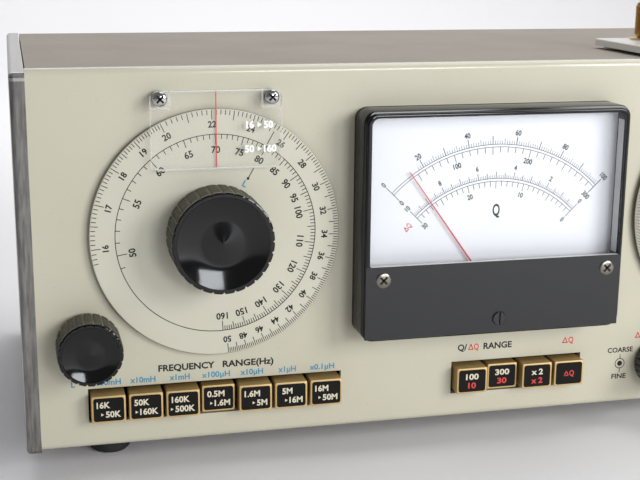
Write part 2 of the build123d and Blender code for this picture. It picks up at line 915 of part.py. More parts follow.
# ---- Panel meter --------------------------------------------------------------------------
def make_meter_bezel():
    """Deep front shell: a window opening above and a seat for the lower cover below."""
    inner_width = meter_width - 2 * meter_wall
    inner_height = meter_height - 2 * meter_wall
    with BuildPart() as bezel:
        with BuildSketch(ahead(meter_base_thickness)):
            with Locations((meter_x, meter_centre_z)):
                RectangleRounded(meter_width, meter_height, meter_corner_radius)
                Rectangle(inner_width, inner_height, mode=Mode.SUBTRACT)
        extrude(amount=meter_depth - meter_base_thickness)
        fillet(bezel.faces().sort_by(Axis.Y)[0].outer_wire().edges(), meter_edge_radius)
        with BuildSketch(ahead(meter_depth)):
            with Locations((meter_x, window_centre_z)):
                Rectangle(meter_window_width, meter_window_height)
            with Locations((meter_x, lower_cover_z)):
                Rectangle(lower_cover_width, lower_cover_height)
        extrude(amount=-lower_cover_thickness, mode=Mode.SUBTRACT)
        with BuildSketch(ahead(meter_depth - lower_cover_thickness)):
            with Locations((meter_x, (meter_z + meter_wall + window_bottom) / 2)):
                Rectangle(inner_width, window_bottom - meter_z - meter_wall)
            with Locations((pivot_x, adjuster_z)):
                Circle(zero_adjuster_radius + shaft_running_clearance, mode=Mode.SUBTRACT)
            with Locations(*meter_screw_places()):
                Circle(screw_radius, mode=Mode.SUBTRACT)
        extrude(amount=-meter_front_wall)
    return bezel.part


def make_meter_window():
    """Clear pane held inside the window opening."""
    back = meter_depth - lower_cover_thickness - window_thickness
    with BuildPart() as pane:
        with BuildSketch(ahead(back)):
            with Locations((meter_x, (window_bottom + meter_top - meter_wall) / 2)):
                Rectangle(meter_width - 2 * meter_wall, meter_top - meter_wall - window_bottom)
        extrude(amount=window_thickness)
    return pane.part


def make_lower_cover():
    with BuildPart() as cover:
        with BuildSketch(ahead(meter_depth - lower_cover_thickness)):
            with Locations((meter_x, lower_cover_z)):
                Rectangle(lower_cover_width, lower_cover_height)
            with Locations((pivot_x, adjuster_z)):
                Circle(zero_adjuster_radius + shaft_running_clearance, mode=Mode.SUBTRACT)
            with Locations(*meter_screw_places()):
                Circle(screw_radius, mode=Mode.SUBTRACT)
        extrude(amount=lower_cover_thickness)
    return cover.part


def make_scale_plate():
    """Printed dial plate; the pointer's pivot comes through the hole behind the lower cover."""
    plate_width = meter_width - 2 * meter_wall - 2 * scale_plate_gap
    plate_height = meter_height - 2 * meter_wall - 2 * scale_plate_gap
    with BuildPart() as plate:
        with BuildSketch(ahead(scale_plate_front - scale_plate_sheet)):
            with Locations((meter_x, meter_centre_z)):
                Rectangle(plate_width, plate_height)
            with Locations((pivot_x, pivot_z)):
                Circle(coil_outer_radius, mode=Mode.SUBTRACT)
        extrude(amount=scale_plate_sheet)
    return plate.part


def make_meter_body():
    """Rear body: base plate against the panel and a barrel that passes through it."""
    with BuildPart() as body:
        with BuildSketch(ahead(0)):
            with Locations((meter_x, meter_centre_z)):
                RectangleRounded(meter_width, meter_height, meter_corner_radius)
        extrude(amount=meter_base_thickness)
        with BuildSketch(ahead(0)):
            with Locations((meter_x, barrel_z)):
                Circle(meter_barrel_radius)
        extrude(amount=-meter_barrel_depth)
        with BuildSketch(ahead(meter_base_thickness)):
            with Locations((meter_x, barrel_z)):
                Circle(meter_barrel_radius - meter_barrel_wall)
        extrude(amount=-meter_base_thickness - meter_barrel_depth + meter_barrel_wall, mode=Mode.SUBTRACT)
        for side in (-1, 1):
            plate_post_x = meter_x + side * (meter_width / 2 - meter_wall - scale_post_inset)
            with BuildSketch(ahead(meter_base_thickness)):
                with Locations((plate_post_x, meter_centre_z)):
                    Circle(scale_post_radius)
            extrude(amount=scale_plate_front - scale_plate_sheet - meter_base_thickness)
        with BuildSketch(ahead(-meter_barrel_depth)):
            with Locations((meter_x, barrel_z)):
                with GridLocations(meter_stud_spacing, 0, 2, 1):
                    Circle(meter_stud_radius)
        extrude(amount=-meter_stud_length)
    return body.part


def make_meter_magnet():
    """Ring magnet and its fixed core, joined by a web above and below the coil's sweep."""
    with BuildPart() as magnet:
        with BuildSketch(ahead(magnet_front)):
            with Locations((pivot_x, pivot_z)):
                Circle(magnet_radius)
                Circle(magnet_bore, mode=Mode.SUBTRACT)
                Rectangle(magnet_web, 2 * magnet_radius - 2 * magnet_web_inset)
                Circle(magnet_core)
                Circle(pivot_pin_radius + magnet_pin_clearance, mode=Mode.SUBTRACT)
        extrude(amount=-magnet_depth)
        with BuildSketch(ahead(magnet_front - magnet_depth)):
            with Locations((pivot_x, pivot_z)):
                with GridLocations(0, 2 * magnet_radius - 2 * magnet_post_inset, 1, 2):
                    Circle(magnet_post_radius)
        extrude(amount=magnet_front - magnet_depth + meter_barrel_depth - meter_barrel_wall)
    return magnet.part


def make_meter_coil():
    """Moving coil: two sides that run along the core, joined at both ends round the pivot pins."""
    side_radius = (coil_outer_radius + coil_inner_radius) / 2
    side_sheet = coil_outer_radius - coil_inner_radius
    front_end = magnet_front + coil_end_gap
    back_end = magnet_front - magnet_depth - coil_end_gap
    with BuildPart() as coil:
        for start, amount in ((front_end, coil_end_thickness), (back_end, -coil_end_thickness)):
            with BuildSketch(ahead(start)):
                with Locations(Location((pivot_x, pivot_z), -needle_angle)):
                    Rectangle(2 * coil_outer_radius, coil_width)
            extrude(amount=amount)
        with BuildSketch(ahead(front_end)):
            with Locations(Location((pivot_x, pivot_z), -needle_angle)):
                with GridLocations(2 * side_radius, 0, 2, 1):
                    Rectangle(side_sheet, coil_width)
        extrude(amount=back_end - front_end)
    return coil.part


def make_meter_needle():
    """Pointer with a balance tail, on the front pivot pin."""
    with BuildPart() as needle:
        with BuildSketch(ahead(needle_front)):
            with Locations(Location((pivot_x, pivot_z), -needle_angle)):
                with Locations((0, (needle_length - needle_tail) / 2)):
                    Rectangle(needle_width, needle_length + needle_tail)
                with Locations((0, -needle_tail)):
                    Circle(needle_tail_weight_radius)
                Circle(needle_hub_radius)
        extrude(amount=-needle_sheet)
        with BuildSketch(ahead(needle_front)):
            with Locations((pivot_x, pivot_z)):
                Circle(pivot_pin_radius)
        extrude(amount=magnet_front + coil_end_gap + coil_end_thickness - needle_front)
    return needle.part


def make_zero_adjuster():
    with BuildPart() as adjuster:
        with BuildSketch(ahead(meter_depth - lower_cover_thickness - meter_front_wall)):
            with Locations((pivot_x, adjuster_z)):
                Circle(zero_adjuster_radius)
        extrude(amount=lower_cover_thickness + meter_front_wall + zero_adjuster_proud)
        chamfer(adjuster.faces().sort_by(Axis.Y)[0].edges(), zero_adjuster_chamfer)
        with BuildSketch(ahead(meter_depth + zero_adjuster_proud)):
            with Locations((pivot_x, adjuster_z)):
                Rectangle(zero_adjuster_slot, 2 * zero_adjuster_radius)
        extrude(amount=-zero_adjuster_proud, mode=Mode.SUBTRACT)
    return adjuster.part


# ---- Push buttons -------------------------------------------------------------------------
def key_centres(slot_x, count):
    return [slot_x + (index - (count - 1) / 2) * key_pitch for index in range(count)]


def make_key(x, reach):
    """Push button cap with the flat stem that works its switch."""
    with BuildPart() as key:
        with BuildSketch(ahead(reach)):
            with Locations((x, key_z)):
                Rectangle(key_width, key_height)
        extrude(amount=-key_cap_depth)
        fillet(key.edges().filter_by(Axis.Y), key_edge_radius)
        fillet(key.faces().sort_by(Axis.Y)[0].edges(), key_front_radius)
        with BuildSketch(ahead(reach - key_cap_depth)):
            with Locations((x, key_z)):
                Rectangle(key_stem_width, key_stem_height)
        extrude(amount=-key_stem_length)
    return key.part


def make_key_switches():
    """Two gang switch bodies behind the slots, each bored for its row of stems."""
    with BuildPart() as switches:
        for slot_x, slot_width, count in (
            (range_slot_x, range_slot_width, range_key_count),
            (q_slot_x, q_slot_width, q_key_count),
        ):
            with BuildSketch(ahead(-key_switch_front)):
                with Locations((slot_x, key_z)):
                    Rectangle(slot_width + 2 * key_switch_end, key_switch_height)
            extrude(amount=-key_switch_depth)
            with BuildSketch(ahead(-key_switch_front)):
                with Locations(*[(x, key_z) for x in key_centres(slot_x, count)]):
                    Rectangle(key_stem_width + 2 * key_clearance, key_stem_height + 2 * key_clearance)
            extrude(amount=-key_switch_depth, mode=Mode.SUBTRACT)
            for side in (-1, 1):
                with BuildSketch(ahead(-panel_thickness)):
                    with Locations((slot_x + side * (slot_width / 2 + key_ear_place), key_z)):
                        Rectangle(key_ear_width, key_switch_height)
                extrude(amount=panel_thickness - key_switch_front)
    return switches.part


# ---- Zero controls and power button -------------------------------------------------------
def small_flutes(x, z, radius, back, height):
    """Cutter for the grooves round a small knob."""
    flute_circle = radius + small_knob_flute_radius * small_flute_ratio
    with BuildPart(mode=Mode.PRIVATE) as cutter:
        with BuildSketch(ahead(back)):
            with Locations((x, z)):
                with PolarLocations(flute_circle, small_knob_flutes):
                    Circle(small_knob_flute_radius)
        extrude(amount=height)
    return cutter.part


def make_coarse_knob():
    """Outer zero knob with the sleeve that turns the rear track."""
    bore = fine_stem_radius + shaft_running_clearance
    body = turned(zero_x, zero_z, [
        (bore, -potentiometer_depth),
        (coarse_sleeve_radius, -potentiometer_depth),
        (coarse_sleeve_radius, coarse_knob_gap),
        (coarse_knob_radius, coarse_knob_gap),
        (coarse_knob_radius, coarse_front - coarse_knob_chamfer),
        (coarse_knob_radius - coarse_knob_chamfer, coarse_front),
        (bore, coarse_front),
    ])
    with BuildPart() as knob:
        add(body)
        add(small_flutes(zero_x, zero_z, coarse_knob_radius, coarse_knob_gap + small_flute_end,
                         coarse_knob_height - 2 * small_flute_end), mode=Mode.SUBTRACT)
    return knob.part


def make_fine_zero_knob():
    body = turned(zero_x, zero_z, [
        (0, -potentiometer_depth),
        (fine_stem_radius, -potentiometer_depth),
        (fine_stem_radius, fine_zero_back),
        (fine_zero_radius, fine_zero_back),
        (fine_zero_radius, front_reach - fine_zero_chamfer),
        (fine_zero_radius - fine_zero_chamfer, front_reach),
        (fine_zero_radius - fine_zero_rim, front_reach),
        (0, front_reach - fine_zero_dish),
    ])
    with BuildPart() as knob:
        add(body)
        add(small_flutes(zero_x, zero_z, fine_zero_radius, fine_zero_back + small_flute_end,
                         front_reach - fine_zero_back - 2 * small_flute_end), mode=Mode.SUBTRACT)
    return knob.part


def make_potentiometer():
    sleeve_bore = coarse_sleeve_radius + shaft_running_clearance
    bush_front = coarse_knob_gap - key_clearance
    back = -panel_thickness - potentiometer_depth - potentiometer_back
    return turned(zero_x, zero_z, [
        (sleeve_bore, bush_front),
        (sleeve_bore, -potentiometer_depth - key_clearance),
        (0, -potentiometer_depth - key_clearance),
        (0, back),
        (potentiometer_radius, back),
        (potentiometer_radius, -panel_thickness),
        (potentiometer_bush_radius, -panel_thickness),
        (potentiometer_bush_radius, bush_front),
    ])


def make_power_button():
    with BuildPart() as button:
        with BuildSketch(ahead(power_button_reach)):
            with Locations((power_x, zero_z)):
                Rectangle(power_button_size, power_button_size)
        extrude(amount=-power_button_depth)
        fillet(button.edges().filter_by(Axis.Y), key_edge_radius)
        fillet(button.faces().sort_by(Axis.Y)[0].edges(), key_front_radius)
    return button.part


def make_power_switch():
    """Latching mains switch behind the power button."""
    cavity = power_button_size + 2 * key_clearance
    with BuildPart() as switch:
        with BuildSketch(ahead(-panel_thickness)):
            with Locations((power_x, zero_z)):
                Rectangle(power_body_size, power_body_size)
        extrude(amount=-power_body_depth)
        with BuildSketch(ahead(-panel_thickness)):
            with Locations((power_x, zero_z)):
                Rectangle(cavity, cavity)
        extrude(amount=-power_cavity_depth, mode=Mode.SUBTRACT)
    return switch.part


# ---- Terminals on the top -----------------------------------------------------------------
def post_places():
    half_x = post_spacing_x / 2
    half_y = post_spacing_y / 2
    return [(board_x + i * half_x, board_y + j * half_y) for j in (-1, 1) for i in (-1, 1)]


def make_terminal_board():
    pad_spacing_x = board_width - 2 * board_pad_inset
    pad_spacing_y = board_depth - 2 * board_pad_inset
    with BuildPart() as board:
        with BuildSketch(Plane.XY.offset(board_bottom)):
            with Locations((board_x, board_y)):
                RectangleRounded(board_width, board_depth, board_corner_radius)
        extrude(amount=board_thickness)
        chamfer(board.faces().sort_by(Axis.Z)[-1].edges(), board_edge_chamfer)
        with BuildSketch(Plane.XY.offset(cover_top)):
            with Locations((board_x, board_y)):
                with GridLocations(pad_spacing_x, pad_spacing_y, 2, 2):
                    Circle(board_pad_radius)
        extrude(amount=board_pad_height)
        with BuildSketch(Plane.XY.offset(cover_top)):
            with Locations(*post_places()):
                Circle(post_radius)
        extrude(amount=board_pad_height + board_thickness, mode=Mode.SUBTRACT)
    return board.part


def make_terminal_posts():
    """Four studs, each with a washer on the board and a nut and tag below the cover."""
    with BuildPart() as posts:
        with BuildSketch(Plane.XY.offset(board_bottom - post_tail)):
            with Locations(*post_places()):
                Circle(post_radius)
        extrude(amount=post_tail + board_thickness + post_washer_thickness + post_stud_top)
        with BuildSketch(Plane.XY.offset(board_top)):
            with Locations(*post_places()):
                Circle(post_washer_radius)
        extrude(amount=post_washer_thickness)
        with BuildSketch(Plane.XY.offset(board_bottom - post_nut_thickness)):
            with Locations(*post_places()):
                RegularPolygon(post_nut_radius, 6)
        extrude(amount=post_nut_thickness)
    return posts.part


def make_terminal_cap(place):
    """Screw cap that clamps a lead against the washer."""
    bore = post_radius + shaft_running_clearance
    with BuildPart() as cap:
        with BuildSketch(Plane.XY.offset(washer_top + post_cap_gap)):
            with Locations(place):
                Circle(post_cap_radius)
        extrude(amount=post_cap_height)
        fillet(cap.faces().sort_by(Axis.Z)[-1].edges(), post_cap_top_radius)
        with BuildSketch(Plane.XY.offset(washer_top)):
            with Locations(place):
                Circle(bore)
        extrude(amount=post_stud_top + key_clearance, mode=Mode.SUBTRACT)
    return cap.part


# ---- Inside and rear ----------------------------------------------------------------------
def make_transformer():
    transformer_y = rear_y - transformer_rear
    with BuildPart() as transformer:
        with BuildSketch(Plane.XY.offset(deck_top)):
            with Locations((transformer_x, transformer_y)):
                Rectangle(transformer_width, core_depth)
        extrude(amount=transformer_height)
        with BuildSketch(Plane.XY.offset(deck_top + winding_bottom)):
            with Locations((transformer_x, transformer_y)):
                Rectangle(winding_width, core_depth + 2 * transformer_coil_overhang)
        extrude(amount=winding_height)
        fillet(transformer.edges().filter_by(Axis.Z), core_edge_radius)
    return transformer.part


def make_circuit_board():
    """Component board on four spacers, with its larger parts."""
    board_centre_y = rear_y - rear_sheet - circuit_board_rear_gap - circuit_board_depth / 2
    sheet_bottom = deck_top + circuit_board_standoff
    sheet_top = sheet_bottom + board_sheet
    spacer_spacing_x = circuit_board_width - 2 * spacer_inset
    spacer_spacing_y = circuit_board_depth - 2 * spacer_inset
    with BuildPart() as board:
        with BuildSketch(Plane.XY.offset(sheet_bottom)):
            with Locations((circuit_board_x, board_centre_y)):
                Rectangle(circuit_board_width, circuit_board_depth)
        extrude(amount=board_sheet)
        with BuildSketch(Plane.XY.offset(deck_top)):
            with Locations((circuit_board_x, board_centre_y)):
                with GridLocations(spacer_spacing_x, spacer_spacing_y, 2, 2):
                    Circle(spacer_radius)
        extrude(amount=circuit_board_standoff)
        with BuildSketch(Plane.XY.offset(sheet_top)):
            with Locations((circuit_board_x, board_centre_y + chip_row)):
                with GridLocations(chip_pitch, 0, chip_count, 1):
                    Rectangle(chip_width, chip_length)
        extrude(amount=chip_height)
        with BuildSketch(Plane.XY.offset(sheet_top)):
            with Locations((circuit_board_x, board_centre_y + can_row)):
                with GridLocations(can_pitch, 0, can_count, 1):
                    Circle(can_radius)
        extrude(amount=can_height)
    return board.part


def make_mains_inlet():
    """Three-pin appliance inlet, open to the rear."""
    with BuildPart() as inlet:
        with BuildSketch(behind_rear(0)):
            with Locations((-inlet_x, inlet_z)):
                RectangleRounded(inlet_flange_width, inlet_flange_height, inlet_flange_corner)
        extrude(amount=inlet_flange_thickness)
        with BuildSketch(behind_rear(0)):
            with Locations((-inlet_x, inlet_z)):
                Rectangle(inlet_body_width, inlet_body_height)
        extrude(amount=-inlet_body_depth)
        with BuildSketch(behind_rear(inlet_flange_thickness)):
            with Locations((-inlet_x, inlet_z)):
                Rectangle(inlet_recess_width, inlet_recess_height)
        extrude(amount=-inlet_recess_depth, mode=Mode.SUBTRACT)
        with BuildSketch(behind_rear(inlet_flange_thickness - inlet_recess_depth)):
            with Locations((-inlet_x, inlet_z - inlet_side_pin_drop)):
                with GridLocations(inlet_pin_spacing, 0, 2, 1):
                    Rectangle(inlet_pin_width, inlet_pin_height)
            with Locations((-inlet_x, inlet_z - inlet_middle_pin_drop)):
                Rectangle(inlet_pin_width, inlet_pin_height)
        extrude(amount=inlet_pin_length)
    return inlet.part


# ---- Write the sub-parts ------------------------------------------------------------------
save(make_front_panel(), "front_panel")
save(make_side_frame(-1), "left_side_frame")
save(make_side_frame(1), "right_side_frame")
save(make_top_cover(), "top_cover")
save(make_bottom_cover(), "bottom_cover")
save(make_rear_panel(), "rear_panel")
save(make_chassis_deck(), "chassis_deck")
save(make_feet(), "feet")
save(make_case_screws(), "case_screws")

for dial_name, dial_x in (("frequency", frequency_x), ("capacitance", capacitance_x)):
    save(make_dial(dial_x), dial_name + "_dial")
    save(make_dial_shaft(dial_x), dial_name + "_shaft")
    save(make_dial_knob(dial_x), dial_name + "_knob")
    save(make_rotor(dial_x), dial_name + "_rotor")

save(make_drive_disc(), "frequency_drive_disc")
save(make_fine_knob(), "fine_tuning_knob")
save(make_fine_shaft(), "fine_tuning_shaft")
save(make_panel_bushings(), "panel_bushings")
save(make_dial_cursors(), "dial_cursors")
save(make_cursor_posts(), "cursor_posts")
save(make_panel_screws(), "panel_screws")
save(make_capacitor_frames(), "capacitor_frames")

save(make_meter_bezel(), "meter_bezel")
save(make_meter_window(), "meter_window")
save(make_lower_cover(), "meter_lower_cover")
save(make_scale_plate(), "meter_scale_plate")
save(make_meter_body(), "meter_body")
save(make_meter_magnet(), "meter_magnet")
save(make_meter_needle(), "meter_needle")
save(make_meter_coil(), "meter_coil")
save(make_zero_adjuster(), "meter_zero_adjuster")

for index, key_x in enumerate(key_centres(range_slot_x, range_key_count), start=1):
    key_front = key_latched_reach if index == range_key_latched else key_reach
    save(make_key(key_x, key_front), "range_key_" + str(index))
for index, key_x in enumerate(key_centres(q_slot_x, q_key_count), start=1):
    key_front = key_latched_reach if index == q_key_latched else key_reach
    save(make_key(key_x, key_front), "q_key_" + str(index))
save(make_key_switches(), "key_switches")

save(make_coarse_knob(), "coarse_zero_knob")
save(make_fine_zero_knob(), "fine_zero_knob")
save(make_potentiometer(), "zero_potentiometer")
save(make_power_button(), "power_button")
save(make_power_switch(), "power_switch")

save(make_terminal_board(), "terminal_board")
save(make_terminal_posts(), "terminal_posts")
for index, place in enumerate(post_places(), start=1):
    save(make_terminal_cap(place), "terminal_cap_" + str(index))

save(make_transformer(), "power_transformer")
save(make_circuit_board(), "circuit_board")
save(make_mains_inlet(), "mains_inlet")
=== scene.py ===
import json
import math

import bmesh
import bpy
from mathutils import Matrix, Vector

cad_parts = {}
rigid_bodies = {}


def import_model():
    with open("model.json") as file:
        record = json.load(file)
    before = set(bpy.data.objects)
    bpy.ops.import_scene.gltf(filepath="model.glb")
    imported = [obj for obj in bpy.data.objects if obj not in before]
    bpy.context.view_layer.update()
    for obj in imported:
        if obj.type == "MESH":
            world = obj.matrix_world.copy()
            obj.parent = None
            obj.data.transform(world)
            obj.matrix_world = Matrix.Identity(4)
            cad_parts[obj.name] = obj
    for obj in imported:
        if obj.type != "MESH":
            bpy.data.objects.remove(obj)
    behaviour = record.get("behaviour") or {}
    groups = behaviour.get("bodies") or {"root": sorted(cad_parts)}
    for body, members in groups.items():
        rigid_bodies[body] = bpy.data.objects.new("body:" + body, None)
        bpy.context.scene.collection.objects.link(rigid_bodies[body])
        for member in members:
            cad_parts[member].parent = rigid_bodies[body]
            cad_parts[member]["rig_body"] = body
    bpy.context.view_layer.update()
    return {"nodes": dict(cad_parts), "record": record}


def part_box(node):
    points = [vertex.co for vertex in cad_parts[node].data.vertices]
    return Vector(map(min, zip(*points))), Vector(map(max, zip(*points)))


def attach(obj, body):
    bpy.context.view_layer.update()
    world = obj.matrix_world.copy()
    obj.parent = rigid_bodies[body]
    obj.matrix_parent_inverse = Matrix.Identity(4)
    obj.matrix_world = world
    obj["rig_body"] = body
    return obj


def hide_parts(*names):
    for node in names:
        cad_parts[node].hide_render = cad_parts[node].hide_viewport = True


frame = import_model()

# Everything here is worked out in millimetres, and becomes metres where a piece is put in place.
MM = 0.001
FULL_TURN = 2 * math.pi
INK = 0.04

# A piece for the front panel is modelled lying face up, and then stood up to face the user.
FACING = Matrix(((1, 0, 0, 0), (0, 0, -1, 0), (0, 1, 0, 0), (0, 0, 0, 1)))


# ---- Materials: the tools -----------------------------------------------------------------
def tone(red, green, blue):
    """Linear colour from the usual 0 to 255 values."""
    return tuple((value / 255) ** 2.2 for value in (red, green, blue)) + (1.0,)


def shaded(colour, share):
    return tuple(channel * share for channel in colour[:3]) + (1.0,)


class Field:
    """A value that varies over a surface. Arithmetic on it adds Math nodes to its material."""

    def __init__(self, finish, socket):
        self.finish = finish
        self.socket = socket

    def math(self, operation, *values):
        return self.finish.node("ShaderNodeMath", {"operation": operation}, dict(enumerate(values)))

    def __add__(self, other):
        return self.math("ADD", self, other)

    def __sub__(self, other):
        return self.math("SUBTRACT", self, other)

    def __rsub__(self, other):
        return self.math("SUBTRACT", other, self)

    def __mul__(self, other):
        return self.math("MULTIPLY", self, other)

    def __pow__(self, other):
        return self.math("POWER", self, other)

    def __abs__(self):
        return self.math("ABSOLUTE", self)

    __radd__ = __add__
    __rmul__ = __mul__

    def above(self, edge, softness):
        """0 below an edge and 1 above it, with a soft step between."""
        limits = {"Value": self, "From Min": edge - softness, "From Max": edge + softness}
        return self.finish.node("ShaderNodeMapRange", {"interpolation_type": "SMOOTHSTEP"}, limits)


class Finish:
    """A material under construction: its node tree and the shader that its fields drive."""

    def __init__(self, name, **constants):
        self.material = bpy.data.materials.new(name)
        self.material.use_nodes = True
        self.tree = self.material.node_tree
        self.shader = self.tree.nodes["Principled BSDF"]
        self.surface(**constants)

    def node(self, kind, settings=None, values=None, output=0):
        """One node: its settings are set first, then each input gets a constant or a field."""
        made = self.tree.nodes.new(kind)
        for key, value in (settings or {}).items():
            setattr(made, key, value)
        for key, value in (values or {}).items():
            self.feed(made.inputs[key], value)
        return Field(self, made.outputs[output])

    def feed(self, socket, value):
        if isinstance(value, Field):
            self.tree.links.new(value.socket, socket)
        else:
            socket.default_value = value

    def surface(self, **values):
        """Sets or drives the shader's own inputs, which are named in lower case here."""
        names = {name.lower().replace(" ", "_"): name for name in self.shader.inputs.keys()}
        for key, value in values.items():
            self.feed(self.shader.inputs[names[key]], value)

    def place(self, stretch=(1.0, 1.0, 1.0), centre=(0.0, 0.0, 0.0)):
        """Where a point is, in millimetres from a centre, stretched along the axes."""
        coordinates = self.node("ShaderNodeTexCoord", output=3)
        shift = tuple(-c * s for c, s in zip(centre, stretch))
        scale = tuple(s / MM for s in stretch)
        return self.node("ShaderNodeMapping", {}, {"Vector": coordinates, "Location": shift, "Scale": scale})

    def noise(self, size, detail=3.0, stretch=(1.0, 1.0, 1.0)):
        """Cloudy noise whose patches are about that size."""
        values = {"Vector": self.place(stretch), "Scale": 1 / size, "Detail": detail, "Roughness": 0.55}
        return self.node("ShaderNodeTexNoise", {}, values)

    def axis(self, name, centre=(0.0, 0.0, 0.0)):
        """One coordinate of a point, from a centre."""
        place = self.place(centre=centre)
        return self.node("ShaderNodeSeparateXYZ", {}, {"Vector": place}, "XYZ".index(name))

    def radius(self, centre, along="Y"):
        """Distance from an axis through a centre."""
        first, second = [name for name in "XYZ" if name != along]
        return (self.axis(first, centre) ** 2 + self.axis(second, centre) ** 2) ** 0.5

    def mix(self, factor, low, high):
        """Colour that goes from low to high as the factor goes from 0 to 1."""
        return self.node("ShaderNodeMix", {"data_type": "RGBA"}, {0: factor, 6: low, 7: high}, 2)

    def done(self, base_color, roughness, relief=None, depth=0.0, strength=1.0, **others):
        """Drives the shader, with a relief of a depth in millimetres, and returns the material."""
        self.surface(base_color=base_color, roughness=roughness, **others)
        if relief:
            values = {"Height": relief, "Distance": depth * MM, "Strength": strength}
            self.surface(normal=self.node("ShaderNodeBump", {}, values))
        return self.material


# ---- Materials: this instrument's finishes ------------------------------------------------
def panel_paint(top):
    """Satin stoved paint: faint orange peel, slow yellowing, and a top edge that hands have polished."""
    paint = Finish("panel paint", specular_ior_level=0.45, coat_roughness=0.12)
    paint.surface(coat_weight=paint.axis("Z").above(top - 2.9, 0.3) * 0.9)
    age = paint.noise(60.0, 4.0)
    specks = paint.noise(1.1, 5.0).above(0.7, 0.02)
    aged = paint.mix(age * 0.8, tone(198, 194, 174), tone(188, 183, 162))
    tint = paint.mix(specks * 0.3, aged, tone(124, 116, 96))
    return paint.done(tint, 0.4 + age * 0.14, paint.noise(0.5, 2.0), 0.03, 0.35)


def dial_paint(centre, rim):
    """The panel's paint on a disc, with a dark brown ring at its edge."""
    paint = Finish("dial paint", specular_ior_level=0.45)
    age = paint.noise(40.0, 4.0)
    edge = paint.radius(centre).above(rim, 0.1)
    aged = paint.mix(age * 0.8, tone(204, 201, 184), tone(194, 190, 170))
    tint = paint.mix(edge, aged, tone(84, 74, 56))
    return paint.done(tint, 0.4 + age * 0.14 - edge * 0.1, paint.noise(0.5, 2.0), 0.02, 0.3)


def textured_paint(name, low, high, grain=0.9, depth=0.12):
    """Coarse baked texture of a case part: round grains with dust between them."""
    paint = Finish(name, specular_ior_level=0.35)
    grains = paint.node("ShaderNodeTexVoronoi", {}, {"Vector": paint.place(), "Scale": 1 / grain})
    dust = paint.noise(3.0, 6.0)
    tint = paint.mix(paint.noise(45.0, 5.0) * 0.6 + dust * 0.4, low, high)
    return paint.done(tint, 0.62 + dust * 0.2, grains + dust * 0.5, depth, 0.6)


def brushed(name, colour, along, roughness=0.32, grain=0.25):
    """Brushed metal: fine scratches along one axis, with dull patches."""
    metal = Finish(name, metallic=1.0)
    lines = metal.noise(grain, 4.0, tuple(0.02 if axis == along else 1.0 for axis in "XYZ"))
    wide = metal.noise(grain * 4, 3.0, tuple(0.12 if axis == along else 1.0 for axis in "XYZ"))
    tint = metal.mix(lines * 0.5 + wide.above(0.5, 0.25) * 0.5, shaded(colour, 0.55), colour)
    return metal.done(tint, roughness - 0.08 + lines * 0.18, lines, 0.02, 0.4)


def side_frame(rail):
    """Brushed side rail: pale on top; its streaked front darkened as painted shade, with two painted highlight
    bands under its top.
    """
    metal = Finish("side frame metal", metallic=1.0)
    grain = metal.noise(0.4, 4.0, (1.0, 1.0, 0.02))
    wide = metal.noise(1.6, 3.0, (1.0, 1.0, 0.12)).above(0.5, 0.25)
    drop = rail.high.z - metal.axis("Z")
    front = 1.0 - metal.axis("Y").above(rail.low.y + 1.0, 0.3)
    # Painted highlights: two bright bands under the top end, where its rounded edges would catch the light.
    painted_highlight_bands = drop.above(0.7, 0.1) - drop.above(1.6, 0.1) + drop.above(2.4, 0.1) - drop.above(3.8, 0.2)
    # Painted shade: the front is darker below the top end, except in the highlight bands.
    painted_front_shade = front * drop.above(0.3, 0.1) * (1.0 - painted_highlight_bands)
    tint = metal.mix(grain * 0.4 + wide * 0.3, tone(168, 166, 162), tone(206, 205, 202))
    # Darker tones of the front: real brushing streaks, darkened as painted shade.
    streaked_painted_shade = metal.mix(grain * 0.5 + wide * 0.5, tone(84, 82, 80), tone(160, 157, 152))
    return metal.done(metal.mix(painted_front_shade, tint, streaked_painted_shade), 0.26 + grain * 0.18, grain, 0.02, 0.4)


def polished(name, colour, roughness=0.08):
    """Plated or turned metal with faint wear."""
    metal = Finish(name, metallic=1.0)
    wear = metal.noise(2.2, 5.0)
    return metal.done(metal.mix(wear, shaded(colour, 0.8), colour), roughness + wear * 0.14, wear, 0.01, 0.2)


def moulding(name, colour, roughness, grain=0.35, depth=0.01, dust=0.06, **constants):
    """Moulded plastic or rubber: fine skin texture, and a film of dust that dulls it in patches."""
    plastic = Finish(name, **constants)
    film = plastic.noise(9.0, 5.0)
    dusty = tuple(min(1.0, channel + 0.012) for channel in colour[:3]) + (1.0,)
    tint = plastic.mix(film * 0.5, colour, dusty)
    return plastic.done(tint, roughness + film * dust, plastic.noise(grain, 3.0), depth, 0.3)


def glossy_black():
    """Glossy black knob front, with a film of dust and hair-fine scratches."""
    black = Finish("knob front black", specular_ior_level=0.45)
    film = black.noise(6.0, 5.0)
    scratches = black.noise(0.5, 3.0, (1.0, 1.0, 0.1)).above(0.68, 0.03)
    tint = black.mix(film * 0.4, tone(7, 7, 8), tone(18, 17, 17))
    return black.done(tint, 0.06 + film * 0.06 + scratches * 0.12, film, 0.004, 0.3)


def dusty_skirt(centre, radius):
    """Old fluted plastic: dulled by hands and light, with pale dust in its grooves."""
    skirt = Finish("knob skirt", specular_ior_level=0.4)
    groove = 1 - skirt.radius(centre).above(radius - 0.42, 0.2)
    grime = skirt.noise(1.4, 6.0)
    streaks = skirt.noise(0.5, 4.0, (1.0, 0.12, 1.0))
    old = skirt.mix(grime.above(0.5, 0.3) * 0.6 + streaks * 0.4, tone(34, 33, 28), tone(108, 105, 90))
    tint = skirt.mix(groove * (0.4 + grime * 0.6), old, tone(186, 180, 156))
    return skirt.done(tint, 0.58 + grime * 0.2, grime + streaks, 0.05, 0.5)


def ink(name, colour, worn):
    """Printed mark, a little thin and uneven."""
    mark = Finish(name, specular_ior_level=0.3)
    thin = mark.noise(0.8, 4.0)
    return mark.done(mark.mix(thin * 0.5, colour, worn), 0.5 + thin * 0.15)


